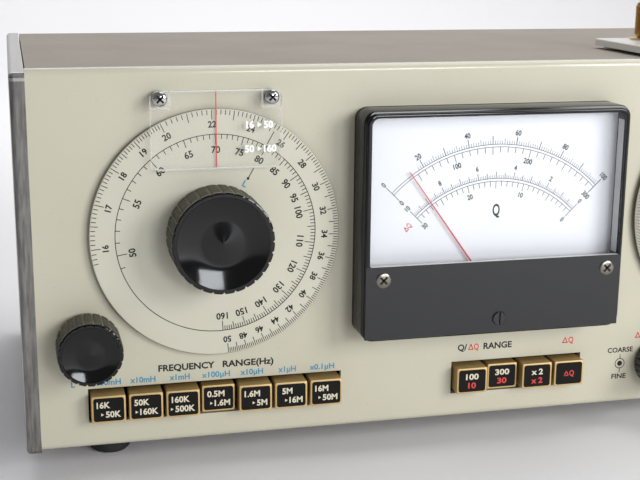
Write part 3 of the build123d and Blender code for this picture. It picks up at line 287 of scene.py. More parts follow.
def clear_sheet(name, alpha, colour):
    """Clear plastic: a faint film and fine scratches."""
    clear = Finish(name, coat_weight=0.5)
    film = clear.noise(14.0, 5.0)
    scratches = clear.noise(0.4, 3.0, (0.08, 1.0, 1.0)).above(0.66, 0.03)
    tint = clear.mix(film * 0.3, colour, shaded(colour, 0.9))
    return clear.done(tint, 0.04 + scratches * 0.1, alpha=film * alpha * 0.5 + scratches * 0.03 + alpha)


def cursor_sheet(centre, half_width, half_height, pocket_place, pocket_half):
    """Clear plastic with painted highlights along its sawn edges and round the walls of its two milled
    pockets.
    """
    clear = Finish("cursor acrylic", specular_ior_level=0.4)
    across = abs(clear.axis("X", centre))
    up = clear.axis("Z", centre)
    film = clear.noise(14.0, 5.0)
    side = across.above(half_width - 0.5, 0.2)
    end = abs(up).above(half_height - 0.5, 0.2)
    far = up.math("MAXIMUM", abs(across - pocket_place[0]), abs(up - pocket_place[1]))
    wall = far.above(pocket_half - 0.35, 0.15) * (1 - far.above(pocket_half + 0.2, 0.15))
    # Painted highlights: the sheet is more opaque and near white along its edges and pocket walls.
    painted_highlight = side * 0.5 + end + wall * 0.6
    tint = clear.mix(film * 0.3, tone(238, 240, 238), tone(214, 216, 212))
    return clear.done(tint, 0.05 + film * 0.05, alpha=painted_highlight * 0.5 + film * 0.02 + 0.02)


def key_bronze(name, low, high):
    """Bronze coloured lacquer with rubbed, brighter patches."""
    bronze = Finish(name, metallic=0.35)
    grain = bronze.noise(0.35, 4.0)
    tint = bronze.mix(grain * 0.5 + bronze.noise(4.0, 4.0) * 0.5, low, high)
    return bronze.done(tint, 0.34 + grain * 0.2, grain, 0.02, 0.5)


METAL_ROUGHNESS = {"brushed_steel": 0.35, "aluminium": 0.4, "cast_iron": 0.6, "brass": 0.3, "chrome": 0.12}


def plain_finish(entry):
    """Finish of an inner part, from what the record says of its material."""
    colour = tuple(entry["base_color"][:3]) + (1.0,)
    if entry["class"] in METAL_ROUGHNESS:
        return brushed(entry["slot"], colour, "Y", METAL_ROUGHNESS[entry["class"]], 0.6)
    return moulding(entry["slot"], colour, 0.5, 0.6, 0.04, 0.1)


# ---- Meshes: the tools --------------------------------------------------------------------
class Part:
    """A part of the CAD model at rest: its box, and the body that it belongs to."""

    def __init__(self, node):
        low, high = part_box(node)
        self.low, self.high = low / MM, high / MM
        self.centre = (self.low + self.high) / 2
        self.size = self.high - self.low
        self.body = frame["nodes"][node]["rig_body"]

    def facing(self, y):
        """Place of a piece about this part's middle that is modelled face up, with its back on the plane y."""
        return facing(self.centre.x, y, self.centre.z)


def facing(x, y, z):
    """Place of a piece that is modelled face up, with its back on the plane y."""
    return Matrix.Diagonal((MM, MM, MM, 1)) @ Matrix.Translation((x, y, z)) @ FACING


def upright(x, y, z):
    return Matrix.Diagonal((MM, MM, MM, 1)) @ Matrix.Translation((x, y, z))


def lathe(outline, steps=96):
    """Turned solid about z, from a closed outline of (radius, height) points."""
    bm = bmesh.new()
    points = [bm.verts.new((radius, 0.0, height)) for radius, height in outline]
    edges = [bm.edges.new(pair) for pair in zip(points, points[1:])]
    bmesh.ops.spin(bm, geom=points + edges, cent=(0, 0, 0), axis=(0, 0, 1), angle=FULL_TURN,
                   steps=steps, use_merge=True)
    bmesh.ops.remove_doubles(bm, verts=bm.verts, dist=0.001)
    return bm


def quarter(steps):
    """Cosine and sine of each step of a quarter turn, without its start."""
    turns = [math.pi / 2 * step / steps for step in range(1, steps + 1)]
    return [(math.cos(turn), math.sin(turn)) for turn in turns]


def set_ring(face, height, radius):
    """Moves a face's corners to a height and a radius; the radius may depend on the angle."""
    for vert in face.verts:
        angle = math.atan2(vert.co.y, vert.co.x)
        reach = radius(angle) if callable(radius) else radius
        vert.co = (reach * math.cos(angle), reach * math.sin(angle), height)


def raise_face(bm, face, height=0.0):
    """Extrudes a face upwards and returns the new top; a lone face stays as the solid's bottom."""
    has_walls = any(len(edge.link_faces) > 1 for edge in face.edges)
    grown = bmesh.ops.extrude_face_region(bm, geom=[face])["geom"]
    top = next(item for item in grown if isinstance(item, bmesh.types.BMFace))
    if has_walls:
        bmesh.ops.delete(bm, geom=[face], context="FACES_ONLY")
    bmesh.ops.translate(bm, vec=(0, 0, height), verts=list(top.verts))
    return top


def grow(levels, segments):
    """Solid grown from a disc through (height, radius) levels."""
    bm = bmesh.new()
    bmesh.ops.create_circle(bm, cap_ends=True, segments=segments, radius=1.0)
    bm.faces.ensure_lookup_table()
    top = bm.faces[0]
    set_ring(top, *levels[0])
    for height, radius in levels[1:]:
        top = raise_face(bm, top)
        set_ring(top, height, radius)
    return bm


def plate(width, height, thickness, corner=0.0, segments=8):
    """Flat plate with rounded corners on the plane z = 0."""
    bm = bmesh.new()
    made = bmesh.ops.create_grid(bm, x_segments=1, y_segments=1, size=0.5)["verts"]
    bmesh.ops.scale(bm, vec=(width, height, 1), verts=made)
    if corner > 0:
        bmesh.ops.bevel(bm, geom=made, offset=corner, offset_type="OFFSET", affect="VERTICES",
                        segments=segments, profile=0.5, material=-1)
    raise_face(bm, next(iter(bm.faces)), thickness)
    bmesh.ops.recalc_face_normals(bm, faces=bm.faces)
    return bm


def shift(bm, x=0.0, y=0.0, z=0.0):
    bmesh.ops.translate(bm, vec=(x, y, z), verts=bm.verts)
    return bm


def twist(bm, angle, axis="Z"):
    bmesh.ops.rotate(bm, cent=(0, 0, 0), matrix=Matrix.Rotation(angle, 3, axis), verts=bm.verts)
    return bm


def drill(radius, bottom, top, steps=32):
    """Round bar along z, to cut a hole with."""
    return lathe([(0.0, bottom), (radius, bottom), (radius, top), (0.0, top)], steps)


def blade(width, height, depth, lift):
    """Flat bar across z, to cut a slot with."""
    bm = bmesh.new()
    bmesh.ops.create_cube(bm, size=1.0)
    bmesh.ops.scale(bm, vec=(width, height, depth), verts=bm.verts)
    return shift(bm, z=lift)


def ease(bm, width, segments=2, sharp=0.6, where=None):
    """Rounds the sharp edges of a solid."""
    edges = [edge for edge in bm.edges
             if edge.is_manifold and edge.calc_face_angle(0.0) > sharp and (where is None or where(edge))]
    bmesh.ops.bevel(bm, geom=edges, offset=width, offset_type="OFFSET", affect="EDGES",
                    segments=segments, profile=0.5, material=-1, clamp_overlap=True)


def near(height):
    """Test for the edges that lie at a height."""
    return lambda edge: all(vert.co.z > height - 0.1 for vert in edge.verts)


def join(bm, other, place=Matrix.Identity(4)):
    """Adds another mesh under construction to this one, at a place."""
    mesh = bpy.data.meshes.new("joining")
    other.to_mesh(mesh)
    other.free()
    mesh.transform(place)
    bm.from_mesh(mesh)
    bpy.data.meshes.remove(mesh)


def cut(bm, cutter):
    """Cuts one solid out of another with a Boolean modifier, and returns what is left."""
    solids = []
    for source in (bm, cutter):
        bmesh.ops.recalc_face_normals(source, faces=source.faces)
        mesh = bpy.data.meshes.new("cutting")
        source.to_mesh(mesh)
        source.free()
        solid = bpy.data.objects.new("cutting", mesh)
        bpy.context.scene.collection.objects.link(solid)
        solids.append(solid)
    difference = solids[0].modifiers.new("difference", "BOOLEAN")
    difference.object = solids[1]
    difference.operation = "DIFFERENCE"
    bpy.context.view_layer.update()
    left = bmesh.new()
    left.from_object(solids[0], bpy.context.evaluated_depsgraph_get())
    for solid in solids:
        bpy.data.objects.remove(solid)
    return left


def solid_object(name, bm, place, material, sharp):
    """Makes a mesh under construction into an object, smooth but for its sharp edges."""
    bmesh.ops.recalc_face_normals(bm, faces=bm.faces)
    mesh = bpy.data.meshes.new(name)
    bm.to_mesh(mesh)
    bm.free()
    mesh.transform(place)
    mesh.polygons.foreach_set("use_smooth", [True] * len(mesh.polygons))
    mesh.set_sharp_from_angle(angle=sharp)
    mesh.materials.append(material)
    made = bpy.data.objects.new(name, mesh)
    bpy.context.scene.collection.objects.link(made)
    return made


def piece(name, bm, place, material, body, replaced=(), sharp=0.7):
    """Finished piece that rides on a body, and takes the place of CAD parts."""
    made = solid_object(name, bm, place, material, sharp)
    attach(made, body)
    if replaced:
        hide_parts(*replaced)
    return made


# ---- Print --------------------------------------------------------------------------------
def text_mesh(words, size, weight):
    curve = bpy.data.curves.new("words", "FONT")
    curve.body = words
    curve.size = size
    curve.align_y = "BOTTOM_BASELINE"
    curve.offset = weight
    curve.extrude = INK / 2
    curve.resolution_u = 3
    carrier = bpy.data.objects.new("words", curve)
    mesh = bpy.data.meshes.new_from_object(carrier)
    bpy.data.objects.remove(carrier)
    bpy.data.curves.remove(curve)
    return mesh


def capital_share():
    """Height of a capital letter at size 1."""
    mesh = text_mesh("H", 1.0, 0.0)
    heights = [vert.co.y for vert in mesh.vertices]
    bpy.data.meshes.remove(mesh)
    return max(heights) - min(heights)


CAPITAL = capital_share()


class Print:
    """Marks of one ink on one flat face, gathered into a single thin piece.

    x and y are measured on the face from the print's own origin, y upwards.
    """

    def __init__(self):
        self.bm = bmesh.new()

    def words(self, text, x, y, capital, turn=0.0, align="CENTER", narrow=1.0, weight=0.0, width=0.0):
        """Lettering held at its left, centre or right, turned anticlockwise by an angle in degrees.

        A width, where it is given, is the width that the lettering is drawn out or pressed in to.
        """
        mesh = text_mesh(text, capital / CAPITAL, weight)
        across = [vert.co.x for vert in mesh.vertices]
        left, right = min(across), max(across)
        held = {"LEFT": left, "CENTER": (left + right) / 2, "RIGHT": right}[align]
        squeeze = width / (right - left) if width else narrow
        centred = Matrix.Diagonal((squeeze, 1, 1, 1)) @ Matrix.Translation((-held, -capital / 2, INK / 2))
        mesh.transform(Matrix.Translation((x, y, 0)) @ Matrix.Rotation(math.radians(turn), 4, "Z") @ centred)
        self.bm.from_mesh(mesh)
        bpy.data.meshes.remove(mesh)

    def difference(self, x, y, capital, width, turn=0.0):
        """The sign for a difference and a Q, centred on x and y; the sign is three strokes."""
        mark = Print()
        half = width * 0.24
        stroke = capital * 0.17
        slope = math.hypot(capital, half) * 0.95
        lean = math.degrees(math.atan2(capital, half))
        left = -width / 2
        mark.bar(left + half, (stroke - capital) / 2, 2 * half, stroke)
        mark.bar(left + half * 0.56, 0, slope, stroke, lean)
        mark.bar(left + half * 1.44, 0, slope, stroke, -lean)
        mark.words("Q", width / 2, 0, capital, align="RIGHT", weight=capital * 0.03, width=width * 0.46)
        join(self.bm, mark.bm,
             Matrix.Translation((x, y, 0)) @ Matrix.Rotation(math.radians(turn), 4, "Z"))

    def bar(self, x, y, length, width, turn=0.0):
        """A straight stroke whose middle is at x, y, along the turned x axis."""
        made = bmesh.ops.create_cube(self.bm, size=1.0)["verts"]
        bmesh.ops.scale(self.bm, vec=(length, width, INK), verts=made)
        turned = Matrix.Rotation(math.radians(turn), 3, "Z")
        bmesh.ops.rotate(self.bm, cent=(0, 0, 0), matrix=turned, verts=made)
        bmesh.ops.translate(self.bm, vec=(x, y, INK / 2), verts=made)

    def spoke(self, clockwise, inner, outer, width):
        """A radial stroke about the origin, at an angle clockwise from the top."""
        angle = math.radians(90 - clockwise)
        reach = (inner + outer) / 2
        self.bar(reach * math.cos(angle), reach * math.sin(angle), outer - inner, width, 90 - clockwise)

    def around(self, text, clockwise, radius, capital, narrow=1.0, weight=0.0):
        """Lettering on a circle about the origin, with its top outwards."""
        angle = math.radians(90 - clockwise)
        self.words(text, radius * math.cos(angle), radius * math.sin(angle), capital, -clockwise,
                   narrow=narrow, weight=weight)

    def arc(self, radius, width, start, end, steps):
        """A thin circular line about the origin, between two angles clockwise from the top."""
        first = math.radians(90 - start)
        outline = [(radius - width / 2, 0), (radius + width / 2, 0), (radius + width / 2, INK),
                   (radius - width / 2, INK)]
        corners = [self.bm.verts.new((r * math.cos(first), r * math.sin(first), h)) for r, h in outline]
        section = self.bm.faces.new(corners)
        whole = end - start >= 360
        bmesh.ops.spin(self.bm, geom=[section], cent=(0, 0, 0), axis=(0, 0, -1),
                       angle=math.radians(end - start), steps=steps, use_merge=whole)

    def disc(self, x, y, inner, outer):
        """A small dot, or a ring if the inner radius isn't nought."""
        outline = [(inner, 0), (outer, 0), (outer, INK), (inner, INK)] + ([(inner, 0)] if inner > 0 else [])
        join(self.bm, lathe(outline, 32), Matrix.Translation((x, y, 0)))

    def arrow(self, x, y, size, turn=0.0):
        """A small solid triangle that points along the turned x axis."""
        base = bmesh.ops.create_circle(self.bm, cap_ends=True, segments=3, radius=size)["verts"]
        top = raise_face(self.bm, base[0].link_faces[0], INK)
        corners = list(base) + list(top.verts)
        bmesh.ops.rotate(self.bm, cent=(0, 0, 0), matrix=Matrix.Rotation(math.radians(turn - 90), 3, "Z"),
                         verts=corners)
        bmesh.ops.translate(self.bm, vec=(x, y, 0), verts=corners)

    def done(self, name, place, material, body, slot):
        return piece(name, self.bm, place, material, body)


def ranked(value, tens, fives, ones):
    """Picks by whether a value is a whole ten, a whole five or neither."""
    return tens if value % 10 == 0 else fives if value % 5 == 0 else ones


# ---- Finishes in use ----------------------------------------------------------------------
BLACK_INK = ink("black ink", tone(22, 22, 24), tone(60, 58, 54))
BLUE_INK = ink("blue ink", tone(66, 136, 166), tone(104, 160, 184))
RED_INK = ink("red ink", tone(205, 58, 58), tone(220, 96, 88))
CREAM_INK = ink("cream ink", tone(226, 217, 194), tone(196, 186, 160))
WHITE_INK = ink("white ink", tone(252, 252, 250), tone(236, 236, 230))
CHROME = polished("screw chrome", tone(196, 194, 194))
NICKEL = polished("dull nickel", tone(132, 127, 118), 0.22)
SATIN_BLACK = moulding("small knob black", tone(24, 24, 26), 0.3, coat_weight=0.2)


def own_slots():
    """Finishes of the parts that stay, by the slots of the record."""
    finishes = {entry["slot"]: plain_finish(entry) for entry in frame["record"]["materials"]}
    finishes.update(
        panel_paint=panel_paint(Part("front_panel").high.z),
        cover_paint=textured_paint("cover paint", tone(142, 134, 124), tone(172, 164, 153)),
        rear_paint=textured_paint("rear paint", tone(160, 153, 138), tone(178, 171, 156), 1.4, 0.05),
        frame_metal=side_frame(Part("left_side_frame")),
        foot_rubber=moulding("foot rubber", tone(34, 34, 34), 0.7, 0.5, 0.05),
        meter_black=moulding("meter black", tone(11, 11, 12), 0.5, 0.6, 0.004, 0.04, specular_ior_level=0.12),
        meter_matt=moulding("meter matt black", tone(25, 25, 27), 0.5, 0.4, 0.03),
        scale_white=moulding("scale white", tone(236, 238, 244), 0.45, 0.5, 0.01, 0.03),
        terminal_white=moulding("terminal white", tone(236, 234, 226), 0.3, 0.8, 0.01, coat_weight=0.2),
        switch_body=moulding("switch body", tone(40, 38, 36), 0.6, 0.5, 0.05),
        screw_chrome=CHROME)
    return finishes


FINISHES = own_slots()


# ---- Dials and their knobs ----------------------------------------------------------------
FLUTE_STEPS = 10
GROOVE_SHARPNESS = 8
SIDES = ("frequency", "capacitance")
SET_SCREW_ANGLE = math.radians(152)


def lobed(radius, lobes, depth):
    """Radius of a skirt with wide convex lobes and narrow grooves, by the angle."""
    def reach(angle):
        across = 2 * ((angle * lobes / FULL_TURN) % 1.0) - 1
        return radius - depth * abs(across) ** GROOVE_SHARPNESS
    return reach


def make_knob(node, lobes, depth, cap, rim, cone_radius, dish, rise):
    """Fluted knob: a dusty skirt, and a glossy front with a funnel and a raised cone."""
    part = Part(node)
    radius = part.size.x / 2
    front = part.size.y
    under = front - cap
    place = part.facing(part.high.y)
    segments = lobes * FLUTE_STEPS
    inner = lobed(radius - 0.35, lobes, depth)

    full = lobed(radius, lobes, depth)
    soft = lobed(radius - 1.1, lobes, depth * 0.6)
    skirt = grow([(0.0, soft), (0.5, inner), (1.0, full), (under - 0.3, full), (under, inner)], segments)
    hole = bmesh.new()
    bmesh.ops.create_cone(hole, cap_ends=True, segments=24, radius1=1.3, radius2=1.3, depth=8.0)
    shift(twist(hole, math.pi / 2, "Y"), radius, 0.0, under * 0.45)
    skirt = cut(skirt, twist(hole, SET_SCREW_ANGLE))
    piece(f"{node}_skirt", skirt, place, dusty_skirt(part.centre, radius), part.body, (node,))

    edge = lobed(radius - 0.15, lobes, depth)
    eased = lobed(radius - 0.4, lobes, depth)
    turned = lobed(radius - 0.9, lobes, depth * 0.5)
    levels = [(under, inner), (under + 0.25, edge), (front - 0.7, edge), (front - 0.2, eased),
              (front, turned), (front, rim), (front - 0.25, rim - 0.25)]
    fall = 10
    for step in range(1, fall + 1):
        share = step / fall
        reach = rim - 0.25 + (cone_radius - rim + 0.25) * share
        levels.append((front - 0.25 - (dish - 0.25) * (1 - (1 - share) ** 1.5), reach))
    foot = front - dish
    levels += [(foot, cone_radius - 0.25), (foot + rise * 0.97, 0.5), (foot + rise, 0.1)]
    piece(f"{node}_cap", grow(levels, segments), place, KNOB_FRONT, part.body, sharp=0.3)


KNOB_FRONT = glossy_black()
for side in SIDES:
    make_knob(f"{side}_knob", 28, 0.95, 3.0, 21.5, 10.2, 2.6, 1.6)
make_knob("fine_tuning_knob", 22, 0.9, 2.6, 13.1, 6.4, 1.8, 1.1)

for side in SIDES:
    dial = Part(f"{side}_dial")
    FINISHES[f"{side}_dial"] = dial_paint(dial.centre, dial.size.x / 2 - 0.12)

TICK = 0.36


def law(value, low, high, terms):
    """Angle on the frequency dial, clockwise from the top: a smooth law of the value's logarithm."""
    share = math.log(value / low) / math.log(high / low)
    return sum(term * share ** power for power, term in enumerate(terms))


class DialPrint(Print):
    """Marks and numbers of a dial: one scale along its rim, and one inside a ring line."""

    def rim_mark(self, angle, value):
        self.spoke(angle, ranked(value, 53.8, 55.0, 56.0), 58.2, TICK)

    def rim_number(self, angle, value):
        self.around(str(value), angle, 51.6, 2.75, 0.97, 0.12)

    def ring(self):
        self.arc(47.0, 0.36, 0, 360, 180)

    def ring_mark(self, angle, value):
        self.spoke(angle, ranked(value, 42.3, 43.3, 44.8), 47.0, TICK)

    def ring_number(self, angle, value):
        self.around(str(value), angle, 39.9, 3.0, 0.95, 0.12)

    def done_on(self, side, kind, material):
        dial = Part(f"{side}_dial")
        self.done(f"{side}_dial_{kind}", dial.facing(dial.low.y), material, f"{side}_tuner", "dial_paint")


def frequency_print():
    """Two frequency scales and the inductance mark."""
    black, blue = DialPrint(), DialPrint()
    outer_law = (16.0, 50.0, (-94.7, 413.7, -382.2, 359.1, -120.8))
    inner_law = (50.0, 160.0, (-99.8, 440.5, -445.6, 438.2, -156.2))
    for tenth in list(range(157, 200)) + list(range(200, 501, 2)):
        black.rim_mark(law(tenth / 10, *outer_law), tenth)
    for label in [16, 17, 18, 19] + list(range(20, 51, 2)):
        black.rim_number(law(label, *outer_law), label)
    black.ring()
    for value in range(49, 161):
        black.ring_mark(law(value, *inner_law), value)
    for label in list(range(50, 100, 5)) + list(range(100, 161, 10)):
        black.ring_number(law(label, *inner_law), label)
    mark = 29.8
    angle = math.radians(90 - mark)
    dot = 29.8
    black.spoke(mark, 48.2, 54.6, 0.4)
    black.spoke(mark, 30.4, 36.4, 0.4)
    black.disc(dot * math.cos(angle), dot * math.sin(angle), 0.0, 0.65)
    blue.around("L", mark, 27.0, 3.0, 1.0, 0.1)
    black.done_on("frequency", "print", BLACK_INK)
    blue.done_on("frequency", "mark", BLUE_INK)


def capacitance_print():
    """Capacitance scale along the rim, in picofarads, and a difference scale inside it."""
    black, red = DialPrint(), DialPrint()
    low, high, first, last = 22, 480, -150.0, 150.0
    for value in range(low, high + 1):
        angle = first + (last - first) * ((value - low) / (high - low)) ** 0.82
        black.rim_mark(angle, value)
        if value % 20 == 0 and value < 100 or value % 50 == 0 and value >= 100 or value == 30:
            black.rim_number(angle, value)
    black.ring()
    for value in range(-50, 51):
        angle = value * 2.6
        black.ring_mark(angle, value)
        if value % 10 == 0:
            (red if value < 0 else black).ring_number(angle, abs(value))
    black.done_on("capacitance", "print", BLACK_INK)
    red.done_on("capacitance", "mark", RED_INK)


frequency_print()
capacitance_print()


# ---- Screws -------------------------------------------------------------------------------
def domed_screw(radius, rise, shank):
    """Domed screw head with a deep cross recess, and its shank below."""
    shank_radius = 1.4
    outline = [(0.0, -shank), (shank_radius, -shank), (shank_radius, 0.0), (radius * 0.96, 0.0),
               (radius, rise * 0.12), (radius, rise * 0.3)]
    head = lathe(outline + [(radius * run, rise * (0.3 + 0.7 * climb)) for run, climb in quarter(8)], 48)
    for turn in (math.pi / 4, 3 * math.pi / 4):
        head = cut(head, twist(blade(radius * 1.3, radius * 0.3, rise * 1.4, rise * 1.1), turn))
    return head


def recess_shadow(radius, rise):
    """Painted shadow: a dark cross laid in the bottom of a cross recess."""
    cross = Print()
    for turn in (45.0, 135.0):
        cross.bar(0.0, 0.0, radius * 1.26, radius * 0.28, turn)
    return shift(cross.bm, z=rise * 0.42)


def make_panel_screws():
    """Chromed screws of the two cursors, and duller ones in the meter's cover."""
    cursor, cover, bezel = Part("dial_cursors"), Part("meter_lower_cover"), Part("meter_bezel")
    seat = cursor.low.y + 1.2
    bright, dull, recess_shadows, rings = bmesh.new(), bmesh.new(), bmesh.new(), bmesh.new()
    for side in SIDES:
        for offset in (-POST_OFFSET, POST_OFFSET):
            place = facing(Part(f"{side}_dial").centre.x + offset, seat, cursor.high.z - POST_DROP)
            join(bright, domed_screw(3.35, 2.0, Part("panel_screws").high.y - seat), place)
            # Painted shadows: a dark cross in each screw's recess.
            join(recess_shadows, recess_shadow(3.35, 2.0), place)
    for offset in (-57.5, 57.5):
        place = facing(bezel.centre.x + 0.6 + offset, cover.low.y, bezel.low.z + 30.9)
        join(dull, domed_screw(3.7, 1.0, 4.2), place)
        join(recess_shadows, recess_shadow(3.7, 1.0), place)
        join(rings, lathe([(3.75, 0.0), (4.5, 0.0), (4.5, 0.06), (3.75, 0.06), (3.75, 0.0)], 48), place)
    for name, bm, material, slot, replaced, sharp in (
            ("cursor_screws", bright, CHROME, "screw_chrome", ("panel_screws",), 0.5),
            ("meter_cover_screws", dull, NICKEL, "screw_chrome", (), 0.5),
            ("screw_recesses", recess_shadows, BLACK_INK, "screw_chrome", (), 0.7),
            ("meter_screw_rings", rings, SATIN_BLACK, "meter_matt", (), 0.5)):
        piece(name, bm, Matrix.Identity(4), material, "case", replaced, sharp)


# ---- Cursors ------------------------------------------------------------------------------
# Where a cursor's two posts stand: beside its middle, and below its top.
POST_OFFSET = 25.6
POST_DROP = 3.6


def make_cursors():
    """Clear plates over the dials, each with two pockets and a red hair line down its middle."""
    part = Part("dial_cursors")
    height = part.size.z
    hole_up = height / 2 - POST_DROP
    up = part.low.z + height / 2
    pocket = 9.0
    for side in SIDES:
        across = Part(f"{side}_dial").centre.x
        sheet = plate(60.6, height, part.size.y, 4.0)
        ease(sheet, 0.35)
        for offset in (-POST_OFFSET, POST_OFFSET):
            sheet = cut(sheet, shift(plate(pocket, pocket, 4.0, 0.8, 3), offset, hole_up, 1.8))
            sheet = cut(sheet, shift(drill(1.5, -1.0, 4.0), offset, hole_up))
        clear = cursor_sheet((across, part.high.y, up), 30.3, height / 2, (POST_OFFSET, hole_up), pocket / 2)
        piece(f"{side}_cursor", sheet, facing(across, part.high.y, up), clear, "case",
              ("dial_cursors",) if side == SIDES[0] else ())
        line = Print()
        line.bar(0.0, 0.0, 0.5, height - 1.0)
        line.done(f"{side}_cursor_line", facing(across, part.high.y + INK, up), RED_INK, "case",
                  "clear_acrylic")


make_panel_screws()
make_cursors()


# ---- Meter --------------------------------------------------------------------------------
ZERO_ANGLE = -45.5
FULL_ANGLE = 45.45
UPPER_ARCS = (72.4, 73.7)
LOWER_ARCS = (55.6, 57.0)

# The opening for the window, in the panel's own x and z, and where the clear pane begins below.
WINDOW_LEFT, WINDOW_RIGHT, WINDOW_TOP, WINDOW_CORNER = -65.8, 61.8, 169.6, 3.5
OPENING_BOTTOM, PANE_BOTTOM = 80.0, 99.25


def q_angle(value):
    """Angle of a reading on the scale of 0 to 100, clockwise from the top; it is cramped near nought."""
    return 0.9446 * value - 49.06 if value else ZERO_ANGLE


def difference_angle(share):
    """Angle of a share of the difference scales, which run the other way."""
    return FULL_ANGLE + (ZERO_ANGLE - FULL_ANGLE) * share


def meter_print():
    """Q scales above two arcs, the difference scales below them, all about the pointer's pivot."""
    black = Print()
    red = Print()
    for radius in UPPER_ARCS + LOWER_ARCS:
        black.arc(radius, 0.26, ZERO_ANGLE, FULL_ANGLE, 90)
    for angle in (ZERO_ANGLE, FULL_ANGLE):
        black.spoke(angle, 68.6, 77.7, 0.3)
        black.spoke(angle, 52.0, 60.6, 0.3)
    (upper_foot, upper_top), (lower_foot, lower_top) = UPPER_ARCS, LOWER_ARCS
    for value in range(18, 101):
        black.spoke(q_angle(value), upper_top, upper_top + ranked(value, 4.0, 2.8, 1.8),
                    ranked(value, 0.36, 0.2, 0.2))
    for value in range(50, 301, 10):
        black.spoke(q_angle(value / 3), upper_foot - (3.8 if value % 50 == 0 else 2.7), upper_foot, 0.3)
    for tenth in range(0, 101):
        black.spoke(difference_angle(tenth / 100), lower_top, lower_top + ranked(tenth, 3.3, 2.6, 1.6),
                    ranked(tenth, 0.3, 0.3, 0.18))
    for value in range(0, 31):
        black.spoke(difference_angle(value / 30), lower_foot - ranked(value, 3.6, 3.6, 2.5), lower_foot, 0.28)
    for values, angle, radius, capital in (
            (range(0, 101, 20), q_angle, 79.6, 2.5),
            (range(0, 301, 100), lambda value: q_angle(value / 3), 66.8, 2.5),
            (range(0, 11, 2), lambda value: difference_angle(value / 10), 62.6, 2.3),
            (range(0, 31, 10), lambda value: difference_angle(value / 30), 50.0, 2.3)):
        for value in values:
            black.around(str(value), angle(value), radius, capital, 0.82, 0.1)
    around = math.radians(90 + 52.0)
    red.difference(56.4 * math.cos(around), 56.4 * math.sin(around), 2.6, 4.2, 50.0)
    black.words("Q", 0.65, 41.4, 5.6, weight=0.2, width=3.8)
    place = Part("meter_coil").facing(Part("meter_scale_plate").low.y)
    black.done("meter_scale_print", place, BLACK_INK, "case", "scale_white")
    red.done("meter_scale_mark", place, RED_INK, "case", "scale_white")


def block(left, right, bottom, top, back, front, corner=0.0):
    """Plate between two upright planes, in the meter's own face up frame."""
    solid = plate(right - left, top - bottom, front - back, corner, 6)
    return shift(solid, (left + right) / 2, (bottom + top) / 2, back)


def block_in(part, inset, back, front, corner=0.0):
    """Block inside a part's outline, as seen from the front."""
    low, high = part.low, part.high
    return block(low.x + inset, high.x - inset, low.z + inset, high.z - inset, back, front, corner)


def window_cutter(depth):
    """Opening of the window, flared towards the front like the rounded rim of a mould."""
    opening = block(WINDOW_LEFT, WINDOW_RIGHT, OPENING_BOTTOM, WINDOW_TOP, -1.0, depth - 0.8, WINDOW_CORNER)
    face = max(opening.faces, key=lambda face: face.calc_center_median().z)
    middle_x, middle_z = (WINDOW_LEFT + WINDOW_RIGHT) / 2, (OPENING_BOTTOM + WINDOW_TOP) / 2
    for rise, spread in ((0.3, 0.06), (0.3, 0.21), (0.15, 0.25), (0.05, 0.28), (1.0, 0.0)):
        face = raise_face(opening, face, rise)
        for vert in face.verts:
            vert.co.x += math.copysign(spread, vert.co.x - middle_x)
            vert.co.y += math.copysign(spread, vert.co.y - middle_z)
    return opening


def make_bezel():
    """Glossy shell: a low outer step, a rounded frame round the window and a seat for the cover, with thin
    strips of painted highlight.
    """
    bezel, cover = Part("meter_bezel"), Part("meter_lower_cover")
    adjuster = Part("meter_zero_adjuster").centre
    depth = bezel.size.y
    ledge = depth - 1.9
    outer = block_in(bezel, 0.0, 0.0, ledge, 6.0)
    ease(outer, 0.9, 3, 0.6, near(ledge))
    inner = block_in(bezel, 1.2, ledge - 0.4, depth, 5.0)
    ease(inner, 0.95, 4, 0.6, near(depth))
    outer = cut(outer, block_in(bezel, 2.1, -1.0, depth - 4.4))
    shell = bmesh.new()
    outer, inner = [cut(cut(solid, block_in(cover, 0.0, depth - 2.0, depth + 1.0)), window_cutter(depth))
                    for solid in (outer, inner)]
    join(shell, cut(outer, shift(drill(3.5, -1.0, depth + 1.0), adjuster.x, adjuster.z)))
    join(shell, inner)
    place = facing(0.0, bezel.high.y, 0.0)
    piece("meter_shell", shell, place, BEZEL_BLACK, "case", ("meter_bezel",), 0.5)
    # Painted highlights: a thin light grey strip down the window's right wall, and one along the top edge of
    # the meter's cover.
    highlight_strips = block(WINDOW_RIGHT - 0.12, WINDOW_RIGHT, 99.4, WINDOW_TOP - 4.0, 6.6, 12.4)
    join(highlight_strips, block(WINDOW_LEFT + 0.4, WINDOW_RIGHT - 0.4, 99.2, 99.35, depth - 2.0, depth - 0.05))
    piece("meter_light_strips", highlight_strips, place, PAINTED_HIGHLIGHT_EDGE, "case", (), 0.5)


def make_scale_plate():
    """White printed plate that fills the window, with a hole for the movement."""
    part, pivot = Part("meter_scale_plate"), Part("meter_coil").centre
    sheet = block(part.low.x - 2.6, part.high.x + 2.9, part.low.z, part.high.z + 2.6, 0.0, part.size.y)
    sheet = cut(sheet, shift(drill(9.0, -1.0, 3.0, 48), pivot.x, pivot.z))
    piece("meter_white_plate", sheet, facing(0.0, part.high.y, 0.0), FINISHES["scale_white"], "case",
          ("meter_scale_plate",))


